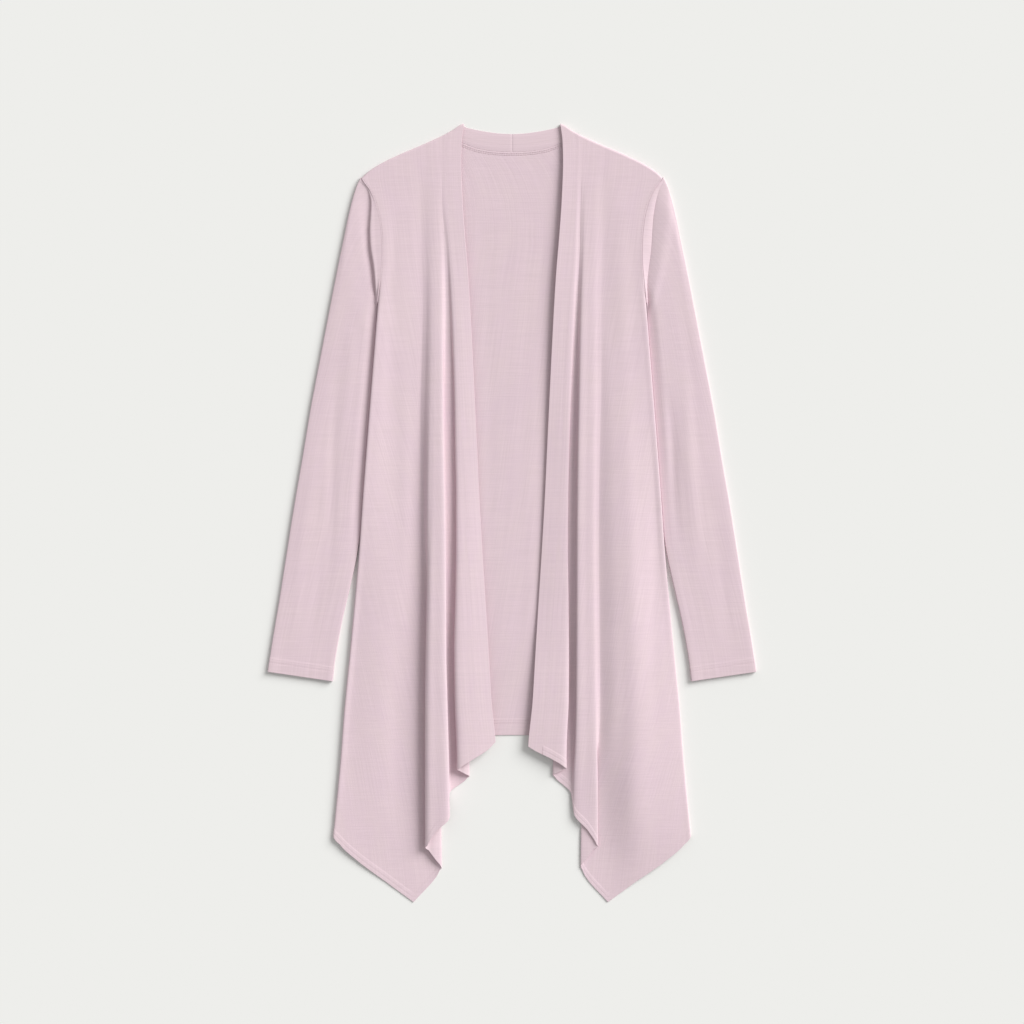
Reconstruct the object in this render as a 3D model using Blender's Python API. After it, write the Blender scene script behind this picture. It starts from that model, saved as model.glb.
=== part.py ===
"""Open-front duster cardigan with a handkerchief hem, laid flat on a surface, back down.

X runs to the viewer's right, Y towards the neck and Z up from the surface. The sizes below are in
millimetres. A place on the garment is given by "out", the distance from the centre back line, and
"drop", the distance down from the high point of the shoulder. Left and right are the wearer's, so
the right front lies at -X. Every piece is a wall of cloth, and neighbours stay a seam gap apart.
"""

import bpy
import numpy as np

MM = 0.001
CLOTH = 1.2
SEAM_GAP = 0.3
LENGTH = 996.0
BAND_WIDTH = 19.0
SHOULDER_ROLL = 6.0
ARMPIT_DROP = 229.0
ARMPIT_ROLL = 38.0
SHOULDER_POINT = (192.0, 69.0)

HALF = CLOTH / 2
ON_FLOOR = HALF
ON_BACK = CLOTH + SEAM_GAP + 0.2
SEAM_SIDE = SEAM_GAP / 2
SIDES = {"right": -1.0, "left": 1.0}

# Outline of the body: the armhole down to the armpit, then the side seam, which the sleeve touches.
BODY_EDGE = (
    # drop, out
    (0.0, 192.0),
    (69.0, 192.0),
    (86.0, 181.5),
    (104.0, 174.0),
    (126.0, 169.0),
    (150.0, 166.8),
    (172.0, 166.6),
    (200.0, 168.6),
    (229.0, 171.5),
    (264.0, 174.0),
    (306.0, 177.3),
    (353.0, 181.0),
    (417.0, 186.0),
    (481.0, 190.8),
    (545.0, 195.2),
    (609.0, 200.8),
    (673.0, 206.8),
    (750.0, 214.4),
    (814.0, 219.3),
    (911.0, 228.5),
    (1000.0, 236.0),
)

SHOULDER_LINE = (
    # out, drop
    (55.0, 0.0),
    (61.4, 0.0),
    (76.8, 8.6),
    (92.0, 16.5),
    (115.0, 27.0),
    (140.0, 37.6),
    (165.0, 49.5),
    (182.0, 60.0),
    (192.0, 69.0),
    (200.0, 78.0),
)

FRONT_EDGE = (
    # drop, out, height of the free edge above the surface on the right front and on the left front
    (0.0, 61.4, 4.4, 4.4),
    (24.0, 64.4, 4.9, 5.4),
    (50.0, 65.0, 5.4, 6.6),
    (97.0, 63.3, 6.2, 7.9),
    (140.0, 60.4, 6.8, 8.4),
    (190.0, 56.3, 7.2, 8.6),
    (225.0, 54.0, 7.2, 8.4),
    (276.0, 51.3, 7.4, 7.8),
    (353.0, 47.6, 7.0, 6.4),
    (417.0, 44.6, 6.6, 5.0),
    (481.0, 41.6, 6.4, 4.4),
    (545.0, 38.0, 7.2, 3.9),
    (609.0, 33.9, 8.6, 3.6),
    (673.0, 30.0, 9.8, 5.8),
    (737.0, 26.2, 10.4, 8.6),
    (797.0, 20.5, 10.0, 9.0),
    (1000.0, 15.0, 10.0, 9.0),
)

# The folds that run down each front. The first pleat hangs from the front band and the second lies
# beyond it. A pleat's top ends at its lip, where the cloth turns under by the tuck. A tuck below
# zero is an open valley. The trough is the low line of the side panel beyond the second pleat.
FOLD_COLUMNS = (
    "drop", "top_1", "lip_1", "tuck_1", "floor_1", "ridge_2", "top_2",
    "lip_2", "tuck_2", "floor_2", "trough_out", "trough_height", "flat",
)
FOLDS = {
    "right": (
        (0.0, 4.6, 86.0, -4.0, 4.5, 97.2, 4.6, 106.7, -8.3, 4.5, 127.0, 4.6, 5.0),
        (84.0, 6.2, 87.0, -3.5, 5.9, 97.7, 6.2, 107.2, -7.8, 5.8, 125.0, 5.9, 6.0),
        (161.0, 7.4, 80.6, -3.2, 6.2, 91.0, 7.4, 103.0, -11.0, 6.1, 124.0, 6.3, 6.4),
        (225.0, 8.6, 77.4, -2.6, 5.2, 89.6, 8.8, 103.0, -9.4, 5.9, 123.0, 6.2, 6.6),
        (289.0, 10.0, 75.0, -1.0, 4.2, 89.0, 10.4, 103.6, -10.0, 5.4, 122.5, 5.9, 6.5),
        (353.0, 10.8, 73.2, 2.5, 3.4, 88.2, 12.0, 104.8, -10.4, 4.8, 122.5, 5.2, 6.3),
        (417.0, 10.4, 72.2, 6.0, 3.0, 87.4, 13.8, 106.2, -9.0, 3.8, 122.5, 4.4, 6.0),
        (481.0, 9.6, 71.2, 9.5, 3.0, 86.0, 15.0, 107.2, -7.0, 3.1, 122.5, 3.8, 5.8),
        (545.0, 10.4, 71.2, 11.5, 3.0, 85.0, 16.0, 107.8, -1.0, 3.0, 123.0, 3.6, 5.6),
        (609.0, 11.6, 72.2, 13.5, 3.0, 84.6, 16.8, 108.4, 4.5, 3.0, 124.0, 3.6, 5.4),
        (673.0, 13.0, 73.4, 15.5, 3.0, 84.4, 17.2, 109.6, 9.0, 3.0, 126.0, 3.6, 5.0),
        (737.0, 13.8, 72.6, 16.0, 3.0, 83.0, 17.4, 110.3, 13.0, 3.0, 128.0, 3.6, 5.0),
        (790.0, 14.0, 70.6, 15.5, 3.0, 81.6, 17.4, 110.5, 16.0, 3.0, 129.0, 3.6, 5.0),
        (834.0, 14.0, 69.8, 15.0, 2.2, 80.6, 17.0, 110.5, 18.0, 2.6, 128.0, 3.2, 4.4),
        (888.0, 13.0, 69.8, 15.0, 2.2, 80.3, 15.0, 110.5, 19.5, 1.7, 126.0, 1.5, 3.0),
        (952.0, 12.0, 69.8, 15.0, 2.0, 80.3, 12.0, 110.5, 20.2, 1.3, 126.0, 0.8, 1.2),
        (1000.0, 12.0, 69.8, 15.0, 2.0, 80.3, 11.0, 110.5, 20.2, 1.3, 126.0, 0.6, 0.8),
    ),
    "left": (
        (0.0, 4.6, 87.0, -4.0, 4.5, 99.0, 4.6, 109.0, -8.0, 4.5, 130.0, 4.6, 5.0),
        (84.0, 7.0, 83.6, -4.0, 6.3, 94.8, 6.6, 107.0, -8.0, 6.3, 126.0, 6.4, 6.4),
        (161.0, 7.8, 81.6, -3.2, 6.2, 92.8, 8.0, 105.0, -9.0, 7.1, 125.0, 7.4, 7.6),
        (225.0, 7.8, 78.8, -2.6, 4.8, 90.0, 9.4, 104.0, -9.0, 8.0, 124.0, 8.4, 8.8),
        (289.0, 10.0, 74.8, -1.0, 4.2, 90.4, 10.4, 104.0, -9.0, 8.5, 124.0, 9.4, 9.8),
        (353.0, 10.8, 73.4, 1.5, 3.6, 89.0, 11.0, 104.0, -8.5, 9.0, 124.0, 10.8, 11.3),
        (417.0, 10.4, 72.8, 5.2, 3.0, 84.4, 11.2, 103.6, -8.0, 9.4, 124.5, 12.0, 12.6),
        (481.0, 10.2, 71.4, 9.0, 3.0, 83.6, 11.2, 103.2, -8.0, 9.6, 125.0, 13.0, 13.6),
        (545.0, 10.0, 71.0, 10.5, 3.0, 83.2, 11.1, 103.4, -8.0, 9.6, 125.0, 13.5, 14.2),
        (609.0, 9.6, 72.0, 12.0, 3.0, 83.0, 11.0, 104.2, -5.5, 9.0, 125.5, 13.7, 14.5),
        (673.0, 9.6, 72.4, 13.0, 3.0, 82.8, 11.6, 105.0, -2.0, 6.6, 126.5, 13.6, 14.4),
        (737.0, 9.6, 72.0, 15.0, 3.0, 82.4, 12.4, 106.4, 2.5, 4.6, 128.0, 8.4, 13.8),
        (790.0, 10.0, 69.6, 16.0, 3.0, 81.4, 12.6, 108.0, 8.0, 3.8, 130.0, 5.4, 9.4),
        (834.0, 10.0, 69.0, 16.5, 2.2, 80.0, 12.2, 109.0, 14.0, 3.0, 130.0, 4.2, 7.4),
        (888.0, 9.4, 69.0, 16.5, 2.2, 80.0, 11.2, 109.4, 20.5, 1.9, 127.0, 2.4, 5.0),
        (952.0, 9.0, 69.0, 16.5, 2.0, 80.0, 9.4, 109.4, 21.4, 1.3, 123.0, 1.0, 2.4),
        (1000.0, 9.0, 69.0, 16.5, 2.0, 80.0, 9.0, 109.4, 21.4, 1.3, 123.0, 0.6, 1.2),
    ),
}

# Height of the rolled side of each front, which is also the height of the armhole seam.
SIDE_ROLL = (
    # drop, height
    (0.0, 5.0),
    (69.0, 6.2),
    (120.0, 8.0),
    (172.0, 9.0),
    (229.0, 9.4),
    (353.0, 9.6),
    (450.0, 9.2),
    (530.0, 7.8),
    (609.0, 6.8),
    (750.0, 6.4),
    (860.0, 5.6),
    (911.0, 4.4),
    (1000.0, 4.0),
)

# The named lines of a front, in order from the front edge to the side seam.
LINES = (
    "front_edge", "front_roll", "top_1", "shelf_1", "lip_1", "under_1", "hidden_1", "turn_1",
    "floor_1", "foot_2", "wall_2", "ridge_2", "top_2", "shelf_2", "lip_2", "under_2",
    "hidden_2", "turn_2", "floor_2", "trough", "flat", "middle", "side_top", "side_roll",
    "side_edge", "side_seam",
)
LINE = {name: number for number, name in enumerate(LINES)}

# Where each line ends at the hem.
HEM = {
    # line: drop on the right front, drop on the left front
    "front_edge": (790.0, 796.0),
    "front_roll": (800.0, 802.0),
    "top_1": (812.0, 811.0),
    "shelf_1": (824.0, 822.5),
    "lip_1": (825.5, 824.0),
    "under_1": (827.5, 826.0),
    "hidden_1": (831.0, 829.5),
    "turn_1": (834.6, 833.0),
    "floor_1": (836.5, 835.0),
    "foot_2": (857.0, 856.0),
    "wall_2": (871.0, 870.0),
    "ridge_2": (888.0, 885.0),
    "top_2": (904.0, 903.0),
    "shelf_2": (922.0, 921.5),
    "lip_2": (925.4, 924.5),
    "under_2": (929.0, 928.0),
    "hidden_2": (940.5, 939.5),
    "turn_2": (952.0, 951.0),
    "floor_2": (954.5, 953.5),
    "trough": (996.0, 996.0),
    "flat": (969.8, 969.2),
    "middle": (946.3, 946.3),
    "side_top": (921.5, 921.5),
    "side_roll": (913.2, 913.2),
    "side_edge": (911.6, 911.6),
    "side_seam": (911.0, 911.0),
}

# Columns of the front panel beyond the band: shares of the way from the band seam to the line
# under the first lip, then places counted in lines.
SEAM_TO_UNDER = (0.0, 0.3, 0.55, 0.7, 0.8, 0.9)
PANEL_COLUMNS = (
    5, 6, 6.6, 7, 7.5, 8, 9, 10, 11, 12, 13, 13.5, 14, 14.5, 15, 16, 16.6, 17, 17.5, 18,
    18.6, 19, 19.5, 20, 21, 22, 22.6, 23, 24, 25,
)
SHOULDER_ROWS = (0.0, 0.4, 1.4, 3.2, 6.5)
LENGTH_ROWS = (
    0.02, 0.045, 0.072, 0.1, 0.13, 0.16, 0.19, 0.215, 0.26, 0.32, 0.39, 0.46, 0.54, 0.62,
    0.7, 0.78, 0.85, 0.9, 0.95, 1.0,
)
BAND_COLUMNS = (0.0, 0.07, 0.35, 0.68, 1.0)

# The band round the back neck, from the shoulder fold to the centre back seam.
BACK_NECK = (
    # neck edge: out, drop; band seam: out, drop
    (60.9, 3.6, 83.2, 16.6),
    (58.0, 4.8, 75.6, 20.0),
    (53.0, 6.1, 66.4, 23.2),
    (46.0, 7.7, 56.0, 27.4),
    (36.0, 9.6, 44.0, 31.4),
    (25.0, 11.3, 30.0, 34.0),
    (13.0, 12.6, 15.0, 35.3),
    (SEAM_SIDE, 13.1, SEAM_SIDE, 35.8),
)
BACK_NECK_CORNER = ((85.75, 15.7), (85.95, 13.9))

BACK_HEM = (
    # out, drop
    (0.0, 782.0),
    (30.0, 782.4),
    (55.0, 784.5),
    (75.0, 790.0),
    (95.0, 801.0),
    (120.0, 820.0),
    (228.5, 911.0),
)

# Drops of the back's points down each side seam, from the armpit to the hem.
SIDE_SEAM_DROPS = (264.0, 306.0, 353.0, 417.0, 481.0, 545.0, 609.0, 673.0, 750.0, 814.0, 870.0)

SLEEVE_INNER = (
    # drop, out: the edge beside the body, then the free edge down to the cuff
    (229.0, 172.6),
    (264.0, 175.1),
    (306.0, 178.4),
    (353.0, 182.1),
    (417.0, 187.1),
    (481.0, 191.9),
    (530.0, 195.5),
    (552.0, 197.6),
    (573.0, 202.5),
    (596.0, 207.6),
    (622.0, 214.0),
    (660.0, 221.5),
    (690.0, 226.6),
    (713.0, 229.4),
)
SLEEVE_OUTER = (
    # drop, out
    (69.0, 193.6),
    (79.0, 198.4),
    (97.0, 204.2),
    (148.5, 215.6),
    (225.0, 231.0),
    (276.5, 240.8),
    (353.0, 255.6),
    (417.0, 266.3),
    (481.0, 277.4),
    (545.0, 287.6),
    (609.0, 297.6),
    (673.0, 308.3),
    (701.0, 312.3),
)

# Rows of a sleeve from the armhole seam to the cuff. The cloth beside the armhole folds over
# itself in a tuck, whose lip and foot are rows of their own. Bow is how far a row bends to the body.
SLEEVE_ROWS = (
    # name, drop at the inner edge, drop at the outer edge, bow, height at mid row
    ("seam", 229.0, 69.0, 14.0, None),
    ("band of the tuck", 232.0, 70.5, 9.0, 9.6),
    ("lip of the tuck", 236.5, 72.5, 3.2, 9.2),
    ("side of the tuck", 240.0, 73.5, 1.6, 6.8),
    ("foot of the tuck", 244.0, 75.0, 0.6, 4.0),
    ("beyond the tuck", 252.0, 83.0, -4.0, 4.3),
    ("upper arm", 265.0, 108.0, -8.0, 5.2),
    ("upper arm", 284.0, 146.0, -8.0, 5.4),
    ("upper arm", 308.0, 190.0, -6.0, 5.4),
    ("upper arm", 342.0, 240.0, -4.0, 5.4),
    ("elbow", 385.0, 298.0, -2.0, 5.4),
    ("elbow", 432.0, 362.0, 0.0, 5.4),
    ("lower arm", 484.0, 428.0, 0.0, 5.3),
    ("lower arm", 536.0, 490.0, 0.0, 5.2),
    ("lower arm", 586.0, 550.0, 0.0, 5.1),
    ("lower arm", 634.0, 608.0, 0.0, 5.0),
    ("lower arm", 678.0, 658.0, 0.0, 4.8),
    ("cuff", 700.0, 685.0, 0.0, 4.6),
    ("cuff", 713.0, 701.0, 0.0, 4.4),
)

# Shares of the way across a sleeve, from its inner edge to its outer one. Along the armhole they
# fall on the rows of the front.
SLEEVE_ACROSS = (0.012, 0.05, 0.12, 0.277, 0.434, 0.58, 0.72, 0.851, 0.955, 0.99)
SHOULDER_HEIGHT = 5.0
SLEEVE_ROUNDED = {0.012: 0.86, 0.99: 0.86}

PINK = (0.74, 0.57, 0.62, 1.0)


def smooth(table, place, column=1):
    """A table's column at a place in its first column, on a curve that never overshoots its rows."""
    rows = np.array(table, float)
    x, y = rows[:, 0], rows[:, column]
    step, slope = np.diff(x), np.diff(y) / np.diff(x)
    tangent = np.empty(len(x))
    tangent[0], tangent[-1] = slope[0], slope[-1]
    same_way = slope[:-1] * slope[1:] > 0
    harmonic = 2 * slope[:-1] * slope[1:] / np.where(same_way, slope[:-1] + slope[1:], 1.0)
    tangent[1:-1] = np.where(same_way, harmonic, 0.0)
    place = np.clip(place, x[0], x[-1])
    i = np.clip(np.searchsorted(x, place, side="right") - 1, 0, len(x) - 2)
    t = (place - x[i]) / step[i]
    return (
        y[i] * (1 + 2 * t) * (1 - t) ** 2
        + tangent[i] * step[i] * t * (1 - t) ** 2
        + y[i + 1] * t * t * (3 - 2 * t)
        + tangent[i + 1] * step[i] * t * t * (t - 1)
    )


def ease(t):
    """0 below 0, 1 above 1, and smooth between."""
    t = np.clip(t, 0.0, 1.0)
    return t * t * (3 - 2 * t)


def mix(a, b, share):
    return a + (b - a) * share


def fold_sizes(side, drop):
    """Every column of the fold table at these drops."""
    table = FOLDS[side]
    return {name: smooth(table, drop, n) for n, name in enumerate(FOLD_COLUMNS) if n}


def pleat(top, lip, tuck, floor):
    """Points over a lip, back under it by the tuck, and down to the floor."""
    deep = top - floor
    tucked = ease(tuck / 6.0)
    open_flank = ease(-tuck / 8.0)
    turn_rise = mix(0.06 * deep, np.maximum(0.2 * deep, 1.9), ease((tuck + 1.0) / 7.0))
    return [
        (lip - 1.0 - 0.16 * deep - 1.6 * open_flank, top - 0.04 * deep),
        (lip, top - mix(0.25, 0.14, open_flank) * deep),
        (lip - mix(0.3, 0.22, tucked) * tuck, top - mix(mix(0.5, 0.36, open_flank), 0.47, tucked) * deep),
        (lip - 0.62 * tuck, top - mix(mix(0.74, 0.7, open_flank), 0.56, tucked) * deep),
        (lip - tuck, floor + turn_rise),
    ]


def section(side, drop):
    """The named lines of a front's cross-section at these drops, as an array (..., line, 2)."""
    f = fold_sizes(side, drop)
    front = smooth(FRONT_EDGE, drop)
    front_height = smooth(FRONT_EDGE, drop, 2 + list(SIDES).index(side))
    edge, roll = smooth(BODY_EDGE, drop), smooth(SIDE_ROLL, drop)
    turned = ease((drop - ARMPIT_DROP + ARMPIT_ROLL) / (2 * ARMPIT_ROLL))
    fall = turned * (roll - ON_BACK)
    deep_1, deep_2 = f["top_1"] - f["floor_1"], f["top_2"] - f["floor_2"]
    steep = ease((f["top_2"] - f["floor_1"] - 4.0) / 6.0)
    wide = f["lip_1"] - front
    side_top = edge - 9.0
    lines = [
        (front, front_height),
        (front + 0.2 * wide, mix(front_height, f["top_1"], 0.32)),
        (front + 0.58 * wide, mix(front_height, f["top_1"], 0.82)),
        *pleat(f["top_1"], f["lip_1"], f["tuck_1"], f["floor_1"]),
        (f["lip_1"] - f["tuck_1"] + 1.2 + 0.06 * deep_1, f["floor_1"]),
        (f["ridge_2"] - mix(4.6, 1.2, steep), f["floor_1"] + 0.06 * deep_1),
        (f["ridge_2"] - mix(2.2, 0.2, steep), mix(f["floor_1"], f["top_2"], 0.52)),
        (f["ridge_2"] + 0.8 * steep, f["top_2"] - mix(0.12, 0.1, steep) * deep_2),
        (mix(f["ridge_2"], f["lip_2"], 0.56), f["top_2"]),
        *pleat(f["top_2"], f["lip_2"], f["tuck_2"], f["floor_2"]),
        (f["lip_2"] - f["tuck_2"] + 1.2 + 0.06 * deep_2, f["floor_2"]),
        (f["trough_out"], f["trough_height"]),
        (mix(f["trough_out"], side_top, 0.36), f["flat"]),
        (mix(f["trough_out"], side_top, 0.7), mix(f["flat"], roll, 0.4)),
        (side_top, mix(f["flat"], roll, 0.9)),
        (edge - mix(4.0, 2.6, turned), roll - 0.1 * fall),
        (edge - mix(2.0, HALF, turned), roll - 0.5 * fall),
        (edge - mix(SEAM_SIDE, HALF + 0.2, turned), roll - fall),
    ]
    return np.stack([np.stack(np.broadcast_arrays(*line), -1) for line in lines], -2)


def along(lines, place):
    """Points on the smooth curve through a section's lines, where place counts in lines."""
    count = lines.shape[-2]
    i = np.clip(np.floor(place).astype(int), 0, count - 2)
    share = (place - i)[..., None]

    def line(number):
        inside = np.clip(number, 0, count - 1)
        return np.take_along_axis(lines, inside[..., None, None], -2)[..., 0, :]

    p1, p2 = line(i), line(i + 1)
    p0 = np.where((i > 0)[..., None], line(i - 1), 2 * p1 - p2)
    p3 = np.where((i < count - 2)[..., None], line(i + 2), 2 * p2 - p1)
    knot = [0.0]
    for a, b in ((p0, p1), (p1, p2), (p2, p3)):
        reach = np.linalg.norm(b - a, axis=-1, keepdims=True)
        knot.append(knot[-1] + np.sqrt(np.maximum(reach, 1e-6)))
    t = mix(knot[1], knot[2], share)
    points = [p0, p1, p2, p3]
    for width in (1, 2):
        points = [
            ((knot[n + width] - t) * points[n] + (t - knot[n]) * points[n + 1])
            / (knot[n + width] - knot[n])
            for n in range(len(points) - 1)
        ]
    return ((knot[2] - t) * points[0] + (t - knot[1]) * points[1]) / (knot[2] - knot[1])


def front_point(side, place, drop):
    """Out and height of a front, before its shoulder rolls down to the back."""
    place, drop = np.broadcast_arrays(np.asarray(place, float), np.asarray(drop, float))
    point = along(section(side, drop), place)
    return point[..., 0], point[..., 1]


def place_at(side, distance, drop):
    """The place, counted in lines, that lies this far from the front edge along the cloth."""
    stations = np.linspace(0.0, LENGTH, 84)
    places = np.linspace(0.0, LINE["turn_1"], 113)
    out, height = front_point(side, places[None, :], stations[:, None])
    steps = np.hypot(np.diff(out, axis=1), np.diff(height, axis=1))
    lengths = np.concatenate([np.zeros((len(stations), 1)), np.cumsum(steps, axis=1)], axis=1)
    found = [np.interp(distance, row, places) for row in lengths]
    return np.interp(drop, stations, found)


def shoulder_top(side, place_of):
    """The drop at which each column meets the shoulder line."""
    drop = np.full(len(place_of(np.zeros(1))), 20.0)
    for _ in range(12):
        out, _ = front_point(side, place_of(drop), drop)
        drop = mix(drop, smooth(SHOULDER_LINE, out) + HALF, 0.8)
    return drop


def hem_drop(side, place):
    """The drop of the hem at each place, which is straight from line to line."""
    column = list(SIDES).index(side)
    return np.interp(place, list(LINE.values()), [HEM[name][column] for name in LINE])


def rolled(height, below_shoulder, low):
    """A height that rolls down to low at the shoulder line."""
    share = np.clip(below_shoulder / SHOULDER_ROLL, 0.0, 1.0)
    return mix(low, height, np.sqrt(1 - (1 - share) ** 2))


def front_grid(side, place_of, low):
    """A grid of a front's points, columns by rows, from the shoulder line down to the hem."""
    top = shoulder_top(side, place_of)
    end = hem_drop(side, place_of(np.full(len(top), 850.0)))
    near = np.array(SHOULDER_ROWS)
    far = mix(near[-1], (end - top)[:, None], np.array(LENGTH_ROWS)[None, :])
    below = np.concatenate([np.broadcast_to(near, (len(top), len(near))), far], axis=1)
    drop = top[:, None] + below
    place = np.stack([place_of(drop[:, n]) for n in range(drop.shape[1])], axis=1)
    out, height = front_point(side, place, drop)
    return np.stack([out, drop, rolled(height, below, low)], -1)


def panel_places(side):
    """The places of the panel's columns, which start at the band seam, as a function of drop."""
    first, rest = np.array(SEAM_TO_UNDER), np.array(PANEL_COLUMNS, float)

    def place_of(drop):
        drop = np.broadcast_to(drop, (len(first) + len(rest),))
        seam = place_at(side, BAND_WIDTH + SEAM_GAP, drop[: len(first)])
        return np.concatenate([mix(seam, PANEL_COLUMNS[0], first), rest])

    return place_of


def band_places(side):
    """The places of the band's columns, from the front edge to its seam."""

    def place_of(drop):
        drop = np.broadcast_to(drop, (len(BAND_COLUMNS),))
        shares = enumerate(BAND_COLUMNS)
        return np.array([place_at(side, BAND_WIDTH * share, drop[n]) for n, share in shares])

    return place_of


def back_neck_grid():
    """The band's points on the back, columns by rows, from the shoulder fold to the centre back."""
    rows = np.array(BACK_NECK)
    share = np.array(BAND_COLUMNS)[:, None]
    out = mix(rows[None, :, 0], rows[None, :, 2], share)
    drop = mix(rows[None, :, 1], rows[None, :, 3], share)
    return np.stack([out, drop, np.full_like(out, ON_FLOOR)], -1)


def shoulder_fold(front):
    """The rows that carry the band over the shoulder, from the front layer to the back one."""
    start = front[:, 0]
    out, drop = start[:, 0], start[:, 1]
    rows = ((0.3, 1.1), (1.6, 0.75))
    return np.stack([np.stack([out, drop + s, np.full_like(out, z)], -1) for s, z in rows], 1)


def band_grid(side):
    """The band from the hem, up the front edge, over the shoulder and round the back neck."""
    front = front_grid(side, band_places(side), ON_FLOOR + 1.5)
    return np.concatenate([front[:, ::-1], shoulder_fold(front), back_neck_grid()], axis=1)


def sleeve_grid():
    """A sleeve's rings from the armhole seam to the cuff, round by rows."""
    top_ring = [(share, SLEEVE_ROUNDED.get(share, 1.0)) for share in SLEEVE_ACROSS]
    floor_ring = [(share, 1.0 - level) for share, level in reversed(top_ring)]
    ring = np.array([(0.0, 0.5), *top_ring, (1.0, 0.5), *floor_ring])
    across, level = ring[:, 0], ring[:, 1]
    seam_drop = mix(SLEEVE_ROWS[0][1], SLEEVE_ROWS[0][2], across)
    chord = mix(smooth(BODY_EDGE, ARMPIT_DROP), SHOULDER_POINT[0], across)
    bend = chord - smooth(BODY_EDGE, seam_drop)
    rows = []
    for name, inner_drop, outer_drop, bow, height in SLEEVE_ROWS:
        inner = smooth(SLEEVE_INNER, inner_drop) + HALF
        outer = smooth(SLEEVE_OUTER, outer_drop) - HALF
        drop = mix(inner_drop, outer_drop, across)
        out = mix(inner, outer, across) - bend * bow / np.max(bend)
        if name == "seam":
            clear = SEAM_SIDE + (HALF + 0.2) * np.sqrt(1 - np.abs(2 * level - 1))
            out = mix(smooth(BODY_EDGE, drop) + clear, out, ease((across - 0.96) / 0.04))
            height = smooth(SIDE_ROLL, drop)
        armpit = mix(8.6, 5.0, ease((inner_drop - ARMPIT_DROP) / 60.0))
        height = mix(armpit, height, ease(across / 0.2))
        height = mix(SHOULDER_HEIGHT, height, ease((1 - across) / 0.2))
        edge_roll = np.minimum(1.0, 0.62 + 5.0 * np.minimum(across, 1 - across))
        top = mix(ON_FLOOR, height, edge_roll)
        rows.append(np.stack([out, drop, mix(ON_FLOOR, top, level)], -1))
    return np.stack(rows, 1)


def world(points, sign):
    """Out, drop and height to X, Y and Z in metres."""
    place = np.stack([sign * points[..., 0], LENGTH / 2 - points[..., 1], points[..., 2]], -1)
    return place * MM


def normals(grid, closed):
    """The unit normal at each point of a grid of points."""
    if closed:
        round_it = np.roll(grid, -1, axis=0) - np.roll(grid, 1, axis=0)
    else:
        round_it = np.gradient(grid, axis=0)
    across = np.cross(round_it, np.gradient(grid, axis=1))
    return across / np.linalg.norm(across, axis=-1, keepdims=True)


def wall_mesh(name, grid, sign, closed=False):
    """A closed wall of cloth about a grid of points, as a mesh."""
    away = normals(grid, closed) * HALF
    skins = [grid + away, grid - away]
    for skin in skins:
        skin[..., 2] = np.maximum(skin[..., 2], 0.0)
    points = world(np.concatenate([skin.reshape(-1, 3) for skin in skins]), sign)
    columns, rows = grid.shape[:2]
    under = columns * rows

    def at(column, row, layer=0):
        return (column % columns) * rows + row + layer * under

    faces = []
    spans = columns if closed else columns - 1
    for c in range(spans):
        for r in range(rows - 1):
            quad = (at(c, r), at(c + 1, r), at(c + 1, r + 1), at(c, r + 1))
            faces.append(quad)
            faces.append(tuple(corner + under for corner in reversed(quad)))
        for r, turn in ((0, 1), (rows - 1, -1)):
            rim = (at(c, r), at(c, r, 1), at(c + 1, r, 1), at(c + 1, r))
            faces.append(rim[::turn])
    if not closed:
        for c, turn in ((0, 1), (columns - 1, -1)):
            for r in range(rows - 1):
                rim = (at(c, r), at(c, r + 1), at(c, r + 1, 1), at(c, r, 1))
                faces.append(rim[::turn])
    if sign > 0:
        faces = [face[::-1] for face in faces]
    mesh = bpy.data.meshes.new(name)
    mesh.from_pydata([tuple(p) for p in points], [], faces)
    mesh.update()
    return mesh


def back_outline():
    """Half of the back's outline, from the centre neck round to the centre hem."""
    gap = SEAM_GAP
    neck = [(out, drop + gap) for _, _, out, drop in reversed(BACK_NECK)]
    neck[0] = (0.0, neck[0][1])
    neck.extend(BACK_NECK_CORNER)
    shoulder = [(out, drop) for out, drop in SHOULDER_LINE if neck[-1][0] < out < 190.0]
    corner = (SHOULDER_POINT[0] - 1.0, SHOULDER_POINT[1] - 0.6)
    drops = [mix(ARMPIT_DROP, SHOULDER_POINT[1], share) for share in reversed(SLEEVE_ACROSS)]
    armhole = [(float(smooth(BODY_EDGE, d)) - SEAM_SIDE, d) for d in (*drops, ARMPIT_DROP)]
    side = [(float(smooth(BODY_EDGE, d)), d) for d in SIDE_SEAM_DROPS]
    return neck + shoulder + [corner] + armhole + side + list(reversed(BACK_HEM))


def back_mesh():
    """The back panel: a flat wall of cloth cut to its outline, resting on the surface."""
    half = np.array(back_outline())
    inner = half[(half[:, 0] > 0)]
    loop = np.concatenate([half, inner[::-1] * (-1, 1)])
    count = len(loop)
    levels = [np.concatenate([loop, np.full((count, 1), z)], axis=1) for z in (CLOTH, 0.0)]
    points = world(np.concatenate(levels), 1.0)
    faces = [tuple(reversed(range(count))), tuple(range(count, 2 * count))]
    for n in range(count):
        after = (n + 1) % count
        faces.append((n, after, after + count, n + count))
    mesh = bpy.data.meshes.new("back")
    mesh.from_pydata([tuple(p) for p in points], [], faces)
    mesh.update()
    return mesh


def jersey(name, tint):
    """The cloth's plain material."""
    material = bpy.data.materials.new(name)
    material.use_nodes = True
    shader = material.node_tree.nodes["Principled BSDF"]
    shader.inputs["Base Color"].default_value = tuple(c * tint for c in PINK[:3]) + (1.0,)
    shader.inputs["Roughness"].default_value = 0.85
    shader.inputs["Metallic"].default_value = 0.0
    return material


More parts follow.
